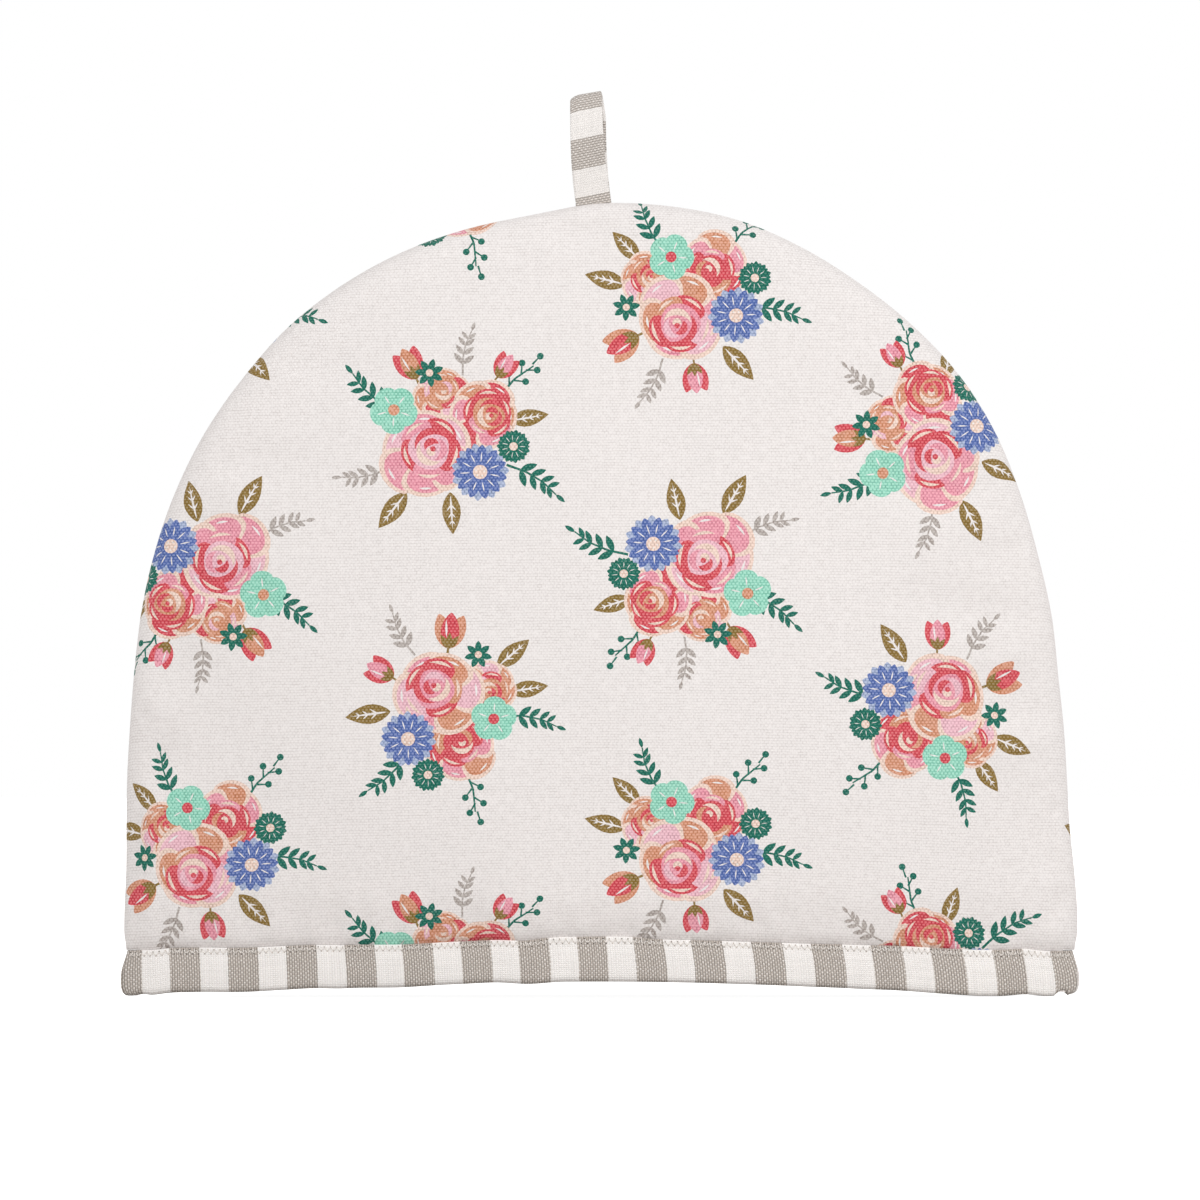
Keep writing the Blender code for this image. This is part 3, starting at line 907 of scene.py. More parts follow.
def plain_cotton(colour, across, up):
    """Unprinted cotton calico on the inside, which looks flat, matt and slightly creamy."""
    look, tree, shader = new_look(
        "plain cotton calico", Roughness=0.9, Sheen_Weight=0.08, Specular_IOR_Level=0.2,
    )
    _, warp, weft, _, uneven = woven(tree, across, up, 0.3 * MM)
    tone = add(tree, "ShaderNodeMapRange", {0: uneven, 1: 0.3, 2: 0.7, 3: 0.93, 4: 1.03}).outputs[0]
    height = add(tree, "ShaderNodeMath", {0: warp, 1: weft}, operation="MULTIPLY").outputs[0]
    # painted shade: the calico is darker where its threads dip between crossings
    depth = add(tree, "ShaderNodeMapRange", {0: height, 1: 0.0, 2: 0.6, 3: 0.9, 4: 1.0}).outputs[0]
    shade = add(tree, "ShaderNodeMath", {0: tone, 1: depth}, operation="MULTIPLY").outputs[0]
    dress(tree, shader, colour, shade, height, strength=0.4, distance=0.2 * MM)
    return look


def ticking(name, cloth, first_grey, stripes_closer=0.0):
    """Cotton ticking woven with bands of grey warp and a cream weft.

    The warp stands up as ribs. The weft crosses the grey as rows of pale flecks, so the grey looks
    heathered and the white clean. The stripe's place comes from the cloth's own length. The ribs
    are 0.6 mm apart on such ticking; they are drawn half as coarse again, so that they show.
    The last share brings its grey and its white closer together by that much of their difference:
    the white is darkened as painted shade, and the grey made lighter.
    """
    # painted shade on the white, darkened towards the grey, while the grey is made lighter
    grey = [g + (w - g) * stripes_closer for g, w in zip(cloth.grey, cloth.white)]
    white = [w + (g - w) * stripes_closer for g, w in zip(cloth.grey, cloth.white)]
    look, tree, shader = new_look(
        name, Roughness=0.88, Sheen_Weight=0.1, Sheen_Roughness=0.5, Specular_IOR_Level=0.25,
    )
    uv, warp, weft, over, uneven = woven(tree, cloth.rib, cloth.pick, 0.4 * MM)
    # the edges of the stripes waver by 0.3 mm either way
    edge = add(tree, "ShaderNodeTexNoise", {"Vector": uv, "Scale": 1100.0, "Detail": 1.0})
    frayed = add(tree, "ShaderNodeMath", {
        0: edge.outputs[0], 1: 0.6 * MM, 2: -0.3 * MM - first_grey,
    }, operation="MULTIPLY_ADD").outputs[0]
    along = add(tree, "ShaderNodeSeparateXYZ", {0: uv}).outputs[0]
    place = add(tree, "ShaderNodeMath", {0: along, 1: frayed}, operation="ADD").outputs[0]
    pitch = cloth.grey_width + cloth.white_width
    turn = add(tree, "ShaderNodeMath", {0: place, 1: pitch}, operation="DIVIDE").outputs[0]
    share = add(tree, "ShaderNodeMath", {0: turn}, operation="FRACT").outputs[0]
    middle = 0.5 * cloth.grey_width / pitch
    off = add(tree, "ShaderNodeMath", {0: share, 1: middle}, operation="SUBTRACT").outputs[0]
    off = add(tree, "ShaderNodeMath", {0: off}, operation="ABSOLUTE").outputs[0]
    soft = 0.15 * MM / pitch
    striped = add(tree, "ShaderNodeMapRange", {
        0: off, 1: middle - soft, 2: middle + soft, 3: 1.0, 4: 0.0,
    }).outputs[0]
    dyed = add(tree, "ShaderNodeMix", {0: striped, 6: (*white, 1), 7: (*grey, 1)},
               data_type="RGBA").outputs[2]
    beat = add(tree, "ShaderNodeTexNoise", {"Vector": uv, "Scale": 760.0, "Detail": 1.0}).outputs[0]
    shown = add(tree, "ShaderNodeMapRange", {0: beat, 1: 0.35, 2: 0.65, 3: 0.35, 4: 1.0}).outputs[0]
    weft_up = add(tree, "ShaderNodeMapRange", {0: over, 1: 0.0, 2: 0.5, 3: 0.0, 4: 0.85}).outputs[0]
    flecked = add(tree, "ShaderNodeMath", {0: weft_up, 1: shown}, operation="MULTIPLY").outputs[0]
    colour = add(tree, "ShaderNodeMix", {0: flecked, 6: dyed, 7: (*cloth.weft, 1)},
                 data_type="RGBA").outputs[2]
    # between two ribs the grey is in shadow, and the white only a little
    deep = add(tree, "ShaderNodeMapRange", {
        0: striped, 1: 0.0, 2: 1.0, 3: 0.86, 4: 0.22,
    }).outputs[0]
    rib = add(tree, "ShaderNodeMapRange", {0: warp, 1: 0.0, 2: 0.6, 3: deep, 4: 1.0}).outputs[0]
    tone = add(tree, "ShaderNodeMapRange", {
        0: uneven, 1: 0.35, 2: 0.65, 3: 0.95, 4: 1.04,
    }).outputs[0]
    shade = add(tree, "ShaderNodeMath", {0: tone, 1: rib}, operation="MULTIPLY").outputs[0]
    height = add(tree, "ShaderNodeMath", {0: warp, 1: weft}, operation="MULTIPLY").outputs[0]
    dress(tree, shader, colour, shade, height, strength=0.6, distance=0.25 * MM)
    return look


def sewing_thread(colour):
    """Twisted cotton sewing thread: cream with a faint sheen, its ply seen as slanted lines."""
    look, tree, shader = new_look("cotton sewing thread", Roughness=0.6, Sheen_Weight=0.25)
    where = add(tree, "ShaderNodeTexCoord").outputs["Object"]
    ply = add(tree, "ShaderNodeTexWave", {"Vector": where, "Scale": 900.0, "Distortion": 1.0},
              bands_direction="DIAGONAL").outputs["Fac"]
    # painted shade: darker slanted lines in the grooves between the plies, with a bump of the same
    # lines
    tone = add(tree, "ShaderNodeMapRange", {0: ply, 1: 0.0, 2: 1.0, 3: 0.82, 4: 1.04}).outputs[0]
    dress(tree, shader, colour, tone, ply, strength=0.3, distance=0.08 * MM)
    return look


def shaded_hole(on_white, on_grey):
    """The shadow in a needle hole, where cloth and thread dive in: dull, a little mottled, and in
    the colour of its own stripe, so it is faint on the white and dark on the grey."""
    look, tree, shader = new_look("shaded needle hole", Roughness=0.95, Specular_IOR_Level=0.05)
    stripe = add(tree, "ShaderNodeAttribute", attribute_name="grey_stripe").outputs["Fac"]
    # the painted shadow takes the colour of its stripe
    colour = add(tree, "ShaderNodeMix", {0: stripe, 6: (*on_white, 1), 7: (*on_grey, 1)},
                 data_type="RGBA").outputs[2]
    where = add(tree, "ShaderNodeTexCoord").outputs["Object"]
    mottle = add(tree, "ShaderNodeTexNoise", {
        "Vector": where, "Scale": 300.0, "Detail": 1.0,
    }).outputs[0]
    tone = add(tree, "ShaderNodeMapRange", {0: mottle, 1: 0.3, 2: 0.7, 3: 0.7, 4: 1.5}).outputs[0]
    dress(tree, shader, colour, tone)
    return look


# ---- property groups --------------------------------------------------------------------------


def length_property(name, description, default):
    return FloatProperty(name=name, description=description, default=default, min=0.0,
                         unit="LENGTH", subtype="DISTANCE", precision=5)


def colour_property(name, description, code):
    return FloatVectorProperty(name=name, description=description, default=linear(code),
                               size=3, min=0.0, max=1.0, subtype="COLOR")


def power_property(name, description, watts):
    return FloatProperty(name=name, description=description, default=watts, min=0.0, unit="POWER")


def share_property(name, description, default):
    return FloatProperty(name=name, description=description, default=default, min=0.0, max=1.0,
                         subtype="FACTOR")


class CosyCloth(bpy.types.PropertyGroup):
    """Sizes and colours of the panels."""

    padding: length_property("Padding", "Thickness of the padded wall", 7.0 * MM)
    warp: length_property("Canvas warp", "Spacing of the warp threads, as drawn", 0.68 * MM)
    weft: length_property("Canvas weft", "Spacing of the weft threads, as drawn", 1.0 * MM)
    grain: length_property("Mesh size", "Spacing of the points on the panels", 2.4 * MM)
    settling: length_property("Settling mesh", "Spacing of the points while it settles", 5.0 * MM)
    settle_limit: length_property("Settling limit", "Furthest that a point may settle", 1.6 * MM)
    easing: share_property("Easing", "How much larger the cloth is than its place", 0.006)
    ground: colour_property("Ground", "Unprinted canvas", "EFEAE8")
    shade: colour_property("Gaps", "Shade where one thread dives under the next", "85746C")
    inside: colour_property("Inside", "Cotton on the inner face", "E9E3DA")


class CosyInks(bpy.types.PropertyGroup):
    """Colours of the print."""

    coral: colour_property("Coral", "Deepest petals", "DE4B58")
    pink: colour_property("Pink", "Middle petals", "F093A8")
    blush: colour_property("Blush", "Pale petals", "F4BCCB")
    peach: colour_property("Peach", "Petal edges", "F6D8C8")
    salmon: colour_property("Salmon", "Warm petals", "DC8F66")
    periwinkle: colour_property("Periwinkle", "Blue petals", "5672B8")
    mist: colour_property("Mist", "Shaded blue petals", "9DB0D6")
    mint: colour_property("Mint", "Small blossoms", "8CDEC4")
    teal: colour_property("Teal", "Sprigs and stars", "1C7463")
    olive: colour_property("Olive", "Leaves", "937738")
    grey: colour_property("Grey", "Pale sprigs", "B4ABA5")


class CosyTicking(bpy.types.PropertyGroup):
    """The striped cloth of the band and the loop, and the thread that sews it."""

    grey_width: length_property("Grey stripe", "Width of a grey stripe", 11.0 * MM)
    white_width: length_property("White stripe", "Width of a white stripe", 10.0 * MM)
    rib: length_property("Ribs", "Spacing of the warp's ribs, as drawn", 0.88 * MM)
    pick: length_property("Weft", "Spacing of the weft's threads, as drawn", 0.74 * MM)
    stitch: length_property("Stitch", "Length of one zigzag", 2.2 * MM)
    sewing: length_property("Thread thickness", "Thickness of the sewing thread", 0.38 * MM)
    hole: length_property("Needle hole", "Width of a needle hole", 0.5 * MM)
    grey: colour_property("Grey warp", "Warp of the grey stripes", "BEB4AB")
    white: colour_property("White warp", "Warp of the white stripes", "F9F5F2")
    weft: colour_property("Weft colour", "Weft all over", "F2ECE7")
    thread: colour_property("Thread colour", "Colour of the stitches", "F0EAE4")
    # painted shadow in a needle hole, on a white and on a grey stripe
    hole_shadow_on_white: colour_property("Hole on white", "Needle hole on a white stripe", "B4ABA3")
    hole_shadow_on_grey: colour_property("Hole on grey", "Needle hole on a grey stripe", "5C534B")
    seed: IntProperty(name="Seed", description="Seed of the stitches' small differences", default=4)


class CosyStage(bpy.types.PropertyGroup):
    """The table, the lights and the camera."""

    table: length_property("Table", "Side of the table top", 8.0)
    distance: length_property("Camera distance", "From the camera to the seam plane", 4.0)
    framed: length_property("Framed width", "Width of the picture at the seam plane", 0.4296)
    eye: length_property("Camera height", "Height of the camera above the table", 0.1416)
    surround: share_property("Surround", "Brightness of the white surround", 0.70)
    glow: share_property("Table glow", "How far the table is burnt out to white", 0.96)
    key: power_property("Key light", "Power of the soft lamp on the right", 27.0)
    fill: power_property("Fill light", "Power of the soft lamp on the left", 17.0)
    front: power_property("Front light", "Power of the lamp by the camera", 11.0)
    back: power_property("Back light", "Power of the lamp behind", 26.0)
    paper: colour_property("Table top", "Matt white paper", "C9C7C5")


# ---- operators --------------------------------------------------------------------------------


class COSY_OT_panels(bpy.types.Operator):
    """Cut, print, pad and settle the front and the back panel"""

    bl_idname = "cosy.panels"
    bl_label = "Panels"

    def execute(self, context):
        cloth = context.scene.cosy_cloth
        inks = context.scene.cosy_inks
        canvas = printed_canvas(tuple(cloth.ground), tuple(cloth.shade), cloth.warp, cloth.weft)
        calico = plain_cotton(tuple(cloth.inside), cloth.warp, cloth.weft)
        roll = Roll(cloth.padding)
        settled = self.settled(cloth, roll)
        for name, side in (("front", FRONT), ("back", BACK)):
            shapes = print_layout(*FIRST_POSY[side])
            piece = self.panel(name, side, cloth, roll, settled, shapes, inks)
            piece.data.materials.append(canvas)
            piece.data.materials.append(calico)
            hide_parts(name + "_panel")
        return {"FINISHED"}

    def settled(self, cloth, roll):
        """Simulates the front's cloth once, coarsely. The back repeats it the other way round."""
        outline = cut_outline(roll, cloth.settling)
        flat, triangles, _, rim = triangulated(outline, cut_grid(roll, cloth.settling))
        points = canvas_point(flat[:, 0], flat[:, 1], FRONT, roll, cloth.padding)
        held = (rim >= 0) | (flat[:, 1] < LEDGE + HELD_ABOVE)
        moved = settle(triangles, points, held, cloth.easing)
        size = np.linalg.norm(moved, axis=1, keepdims=True)
        moved *= np.minimum(1.0, cloth.settle_limit / np.maximum(size, 1e-9))
        return flat, triangles, moved

    def panel(self, name, side, cloth, roll, settled, shapes, inks):
        """One closed panel: printed cloth outside, plain cotton inside, one rim between them."""
        outline = cut_outline(roll, cloth.grain)
        edge = reach(0.0) + roll.extra
        # print only where a shape can touch the cloth, and unmirrored as seen from its own side
        shapes = [
            (ink, shape * (-side, 1) if side < 0 else (shape * (-1, 1))[::-1])
            for ink, shape in shapes
            if np.abs(shape[:, 0]).min() < edge and -10 * MM < shape[:, 1].mean() < HEIGHT + 20 * MM
        ]
        flat, triangles, uppermost, _ = triangulated(
            outline, cut_grid(roll, cloth.grain), [shape for _, shape in shapes]
        )
        outer = canvas_point(flat[:, 0], flat[:, 1], side, roll, cloth.padding)
        outer += read_off(*settled, flat) * (1, -side, 1)
        lowest = lifted(outer[:, 0], np.zeros(len(outer)))
        outer[:, 2] = np.maximum(outer[:, 2], lowest)

        # the inner face has the outer one's edge, as it lies on the cosy
        loop = border(triangles)
        plan = np.stack(roll.laid(flat[loop, 0], flat[loop, 1])[:2], axis=1)
        coarse = cut_grid(roll, LINING_GRAIN * cloth.grain)
        room = reach(bearing(coarse[:, 0], coarse[:, 1])) - np.hypot(coarse[:, 0], coarse[:, 1])
        inside, inner_faces, _, rim = triangulated(plan, coarse[room > LINING_ROOM])
        inner = lining_point(inside[:, 0], inside[:, 1], side)

        # both faces in one mesh, without the unused points of the outer one, and the rim between
        used = np.unique(triangles)
        place = np.full(len(flat), -1)
        place[used] = np.arange(len(used))
        triangles = place[triangles]
        count = len(used)
        near = {int(r): count + k for k, r in enumerate(rim) if r >= 0}
        faces = list(triangles) + [t[::-1] + count for t in inner_faces]
        size = len(loop)
        for k in range(size):
            a, b = place[loop[k]], place[loop[(k + 1) % size]]
            faces.append((b, a, near[k], near[(k + 1) % size]))
        if side > 0:
            faces = [face[::-1] for face in faces]
        piece = new_piece(name + "_panel_cloth", np.concatenate([outer[used], inner]), faces, [])
        mesh = piece.data
        which = np.zeros(len(mesh.polygons), np.int32)
        which[len(triangles):len(triangles) + len(inner_faces)] = 1
        mesh.polygons.foreach_set("material_index", which)
        facing = np.concatenate([flat[used], inside]) * (-side, 1)
        lay_uv(mesh, "cloth", facing)
        self.colour(mesh, uppermost, [ink for ink, _ in shapes], inks)
        mesh.set_sharp_from_angle(angle=np.radians(55))
        return piece

    def colour(self, mesh, uppermost, names, inks):
        """Stores the ink on each corner of the printed faces; unprinted ones get none."""
        bare = (0.0, 0.0, 0.0, 0.0)
        table = np.array([bare] + [
            bare if name == "paper" else (*getattr(inks, name), HEAVY.get(name, 1.0))
            for name in names
        ], np.float32)
        ink = np.zeros((len(mesh.loops), 4), np.float32)
        ink[:3 * len(uppermost)] = np.repeat(table[uppermost + 1], 3, axis=0)
        layer = mesh.color_attributes.new("ink", "FLOAT_COLOR", "CORNER")
        layer.data.foreach_set("color", ink.ravel())


def band_ripple(across, height):
    """Small waves of the band's outer leg, strongest at its sewn edge, in metres."""
    short = wavy(across / MM, *BAND_WAVE)
    slow = np.sin(2 * np.pi * (across / MM) / BAND_SLOW_LENGTH + 0.8)
    return (BAND_RIPPLE * short * height / BAND_HEIGHT + BAND_SLOW * slow) * MM


def band_depth(x, z):
    """Depth of the folded band over the padding inside it, at one place along the hem."""
    edge = fill_out(from_seam(x, z), ROLL)
    core = (CORE_EDGE + (BAND_CORE - CORE_EDGE) * edge) * edge
    return 2 * BAND_CLOTH + (2 * PARTING + core) * edge


def band_path(x):
    """Middle of the folded cloth at one place: depth beyond the inner face, and height."""
    t = BAND_CLOTH / 2
    deep = band_depth(x, BAND_HEIGHT / 2)
    corner = min(BAND_FOLD, deep / 2 - t)
    outer_leg = np.linspace(BAND_HEIGHT - t, corner + t, 9)
    points = [(deep - t, z) for z in outer_leg]
    for turn in np.radians((22, 45, 68)):
        points.append((deep - t - corner * (1 - np.cos(turn)), t + corner * (1 - np.sin(turn))))
    points.append((deep - t - corner, t))
    points.append((t + corner, t))
    for turn in np.radians((68, 45, 22)):
        points.append((t + corner * (1 - np.cos(turn)), t + corner * (1 - np.sin(turn))))
    points += [(t, z) for z in outer_leg[::-1]]
    return np.array(points)


def section_round(points, thickness):
    """A strip's cross section: its middle line thickened, with round ends. Returns the points
    and how far along the middle line each lies."""
    way = np.gradient(points, axis=0)
    way /= np.maximum(np.hypot(*way.T)[:, None], 1e-12)
    across = np.stack([-way[:, 1], way[:, 0]], 1)
    run = np.concatenate([[0.0], np.cumsum(np.hypot(*np.diff(points, axis=0).T))])
    half = thickness / 2
    caps = []
    for end, sign in ((-1, 1), (0, -1)):
        turns = np.radians((45, 0, -45))
        caps.append([
            points[end] + half * (np.cos(a) * way[end] * sign + np.sin(a) * across[end] * sign)
            for a in turns
        ])
    outer, inner = points + across * half, points - across * half
    outline = np.concatenate([outer, caps[0], inner[::-1], caps[1]])
    place = np.concatenate([run, [run[-1]] * 3, run[::-1], [0.0] * 3])
    return outline, place


def swept(sections):
    """Faces between equal cross sections, each a closed ring of points."""
    count, ring = len(sections), len(sections[0])
    faces = []
    for i in range(count - 1):
        for k in range(ring):
            a, b = i * ring + k, i * ring + (k + 1) % ring
            faces.append((a, b, b + ring, a + ring))
    return faces


def corner_shift(x, z, side):
    """The band's ends are rounded: drawn in by the seam above and the fold below."""
    corner = max((abs(x) / HALF_WIDTH - CORNER_START) / (1 - CORNER_START), 0.0)
    up = np.clip(z / BAND_HEIGHT, 0, 1)
    out = CORNER_STANDS[side] * smooth_step(1.7 * (1 - up))
    return np.sign(x) * corner**2 * (out - CORNER_PINCH * up**5 - CORNER_TUCK * (1 - up) ** 14)


def band_surface(x, section, side):
    """Puts a cross section of the band, given as depth and height, where it lies on the cosy."""
    deep, z = section[:, 0], section[:, 1]
    up = np.clip(z / BAND_HEIGHT, 0, 1)
    outer = smooth_step((deep - 1.5 * MM) / (2 * MM)) * fill_out(from_seam(x, 0.0), ROLL)
    swell = BAND_BULGE * np.sin(np.pi * up) ** 0.7
    dent = STITCH_DENT * np.exp(-(((BAND_HEIGHT - STITCH_LOW - z) / DENT_HALF) ** 2))
    depth = deep + outer * (swell - dent + band_ripple(x, z))
    height = lifted(x, z) + risen(x, z, side) + eased(x, BAND_SWELL) * up**2 * outer
    for middle, rise, half in HEM_RIPPLES:
        height = height + rise * MM * bell((x / MM - middle) / half) * smooth_step(1 - up / 0.8)
    base = inner_face(np.full_like(z, x), z)
    return np.stack([x + corner_shift(x, z, side), side * (base + depth), height], axis=1)


def band_cloth(x, run, side):
    """The flat ticking's own coordinates round one cross section of the band."""
    down = run / BAND_HEIGHT
    lean = eased(x, STRIPE_LEAN) * np.where(down < 1, down * (2 - down), 1.0)
    if side == BACK:
        along = x * BACK_EASED + BACK_START + lean
    else:
        along = x + eased(x, TICKING_DRIFT) - lean
    return np.stack([along, -run], axis=1)


class COSY_OT_bands(bpy.types.Operator):
    """Fold the ticking binding round the lower edge of both panels"""

    bl_idname = "cosy.bands"
    bl_label = "Bands"

    def execute(self, context):
        look = ticking("striped cotton ticking, band", context.scene.cosy_ticking, FIRST_GREY)
        for name, side in (("front", FRONT), ("back", BACK)):
            piece, run = self.band(name, side)
            piece.data.materials.append(look)
            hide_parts(name + "_band")
        return {"FINISHED"}

    def band(self, name, side):
        """One folded strip, swept along the hem, and its width when laid flat."""
        stations = np.linspace(-1, 1, int(2 * HALF_WIDTH / BAND_STATION) + 1) * HALF_WIDTH
        points, flat = [], []
        for x in stations:
            outline, run = section_round(band_path(x), BAND_CLOTH)
            points.append(band_surface(x, outline, side))
            flat.append(band_cloth(x, run, side))
        ring = len(points[0])
        faces = swept(points)
        # at both ends the outer and the inner side of the folded cloth are joined across
        middle = (ring - 6) // 2
        for base, order in ((0, 1), ((len(stations) - 1) * ring, -1)):
            joins = [(k, 2 * middle + 2 - k, 2 * middle + 1 - k, k + 1) for k in range(middle - 1)]
            joins.append((middle - 1, middle + 3, middle + 2, middle + 1, middle))
            joins.append((0, ring - 1, ring - 2, ring - 3, ring - 4))
            faces += [tuple(base + v for v in join)[::order] for join in joins]
        if side > 0:
            faces = [face[::-1] for face in faces]
        piece = new_piece(name + "_band_cloth", np.concatenate(points), faces, [])
        lay_uv(piece.data, "cloth", np.concatenate(flat))
        piece.data.set_sharp_from_angle(angle=np.radians(60))
        return piece, float(run.max() + BAND_CLOTH)


class COSY_OT_loop(bpy.types.Operator):
    """Fold the ticking strip that stands in the crown as a hanging loop"""

    bl_idname = "cosy.loop"
    bl_label = "Loop"

    def execute(self, context):
        # the loop's ticking has its white darkened by this share as painted shade, and its grey
        # made lighter
        look = ticking("striped cotton ticking, loop", context.scene.cosy_ticking, LOOP_GREY, 0.12)
        middle = self.path()
        run = np.concatenate([[0.0], np.cumsum(np.hypot(*np.diff(middle, axis=0).T))]) - LOOP_SUNK
        across, face = self.section()
        points, flat = [], []
        way = np.gradient(middle, axis=0)
        way /= np.hypot(*way.T)[:, None]
        for (depth, height), (dy, dz), at in zip(middle, way, run):
            up = np.clip(height / LOOP_HEIGHT, 0, 1)
            level = HEIGHT + PARTING + height * (LOOP_HEIGHT - LOOP_CLOTH / 2) / LOOP_HEIGHT
            down_behind = np.clip(2 * at / (run[-1] - LOOP_SUNK) - 1, 0, 1)
            taper = LOOP_TAPER * up * max(1 - LOOP_UNFOLD * down_behind, 0.0)
            x = across - taper * np.clip(2 * across / LOOP_WIDTH, 0, 1)
            y = depth - dz * face * LOOP_CLOTH / 2
            corner = np.clip(1 - (across + LOOP_WIDTH / 2) / LOOP_CORNER_WIDTH, 0, 1) ** 2 * up**8
            z = level + dy * face * LOOP_CLOTH / 2 + LOOP_SLANT * x * up - LOOP_CORNER * corner
            lean = LOOP_LEAN * (1 - (1 - up) ** LEAN_POWER)
            points.append(np.stack([LOOP_X + x + lean, y, z], axis=1))
            place = at + LOOP_BEHIND * smooth_step(6 * down_behind)
            climb = (LOOP_STRIPES - LOOP_SLANT * up) * across
            flat.append(np.stack([place - climb, across], axis=1))
        faces = swept(points)
        ring = len(across)
        faces.append(tuple(range(ring))[::-1])
        faces.append(tuple(range((len(points) - 1) * ring, len(points) * ring)))
        piece = new_piece("loop_cloth", np.concatenate(points), faces, [look])
        lay_uv(piece.data, "cloth", np.concatenate(flat))
        piece.data.set_sharp_from_angle(angle=np.radians(60))
        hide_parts("loop")
        return {"FINISHED"}

    def path(self):
        """The middle of the strip from the side: depth and height above the seam."""
        turn = np.linspace(0, 2 * np.pi, 91)
        foot = LOOP_CLOTH / 2 + PARTING / 2
        depth = -LOOP_EYE * np.sin(turn) * np.sin(turn / 2)
        depth -= foot * np.cos(turn / 2)
        height = LOOP_HEIGHT * (1 - np.cos(turn)) / 2
        sunk = np.linspace(-LOOP_SUNK, 0, 5)[:-1]
        front = np.stack([np.full(4, -foot), sunk], 1)
        back = np.stack([np.full(4, foot), sunk[::-1]], 1)
        return evenly(np.concatenate([front, np.stack([depth, height], 1), back]), 1.0 * MM)

    def section(self):
        """Across the strip: place and which face, round both folded edges."""
        half = LOOP_WIDTH / 2
        flat = np.linspace(-1, 1, 13) * (half - LOOP_CLOTH / 2)
        turns = np.radians((-60, -30, 0, 30, 60))
        right = [(half - LOOP_CLOTH / 2 * (1 - np.cos(a)), -np.sin(a)) for a in turns]
        left = [(-x, -f) for x, f in right]
        points = [(x, 1.0) for x in flat] + right + [(x, -1.0) for x in flat[::-1]] + left
        return np.array(points).T


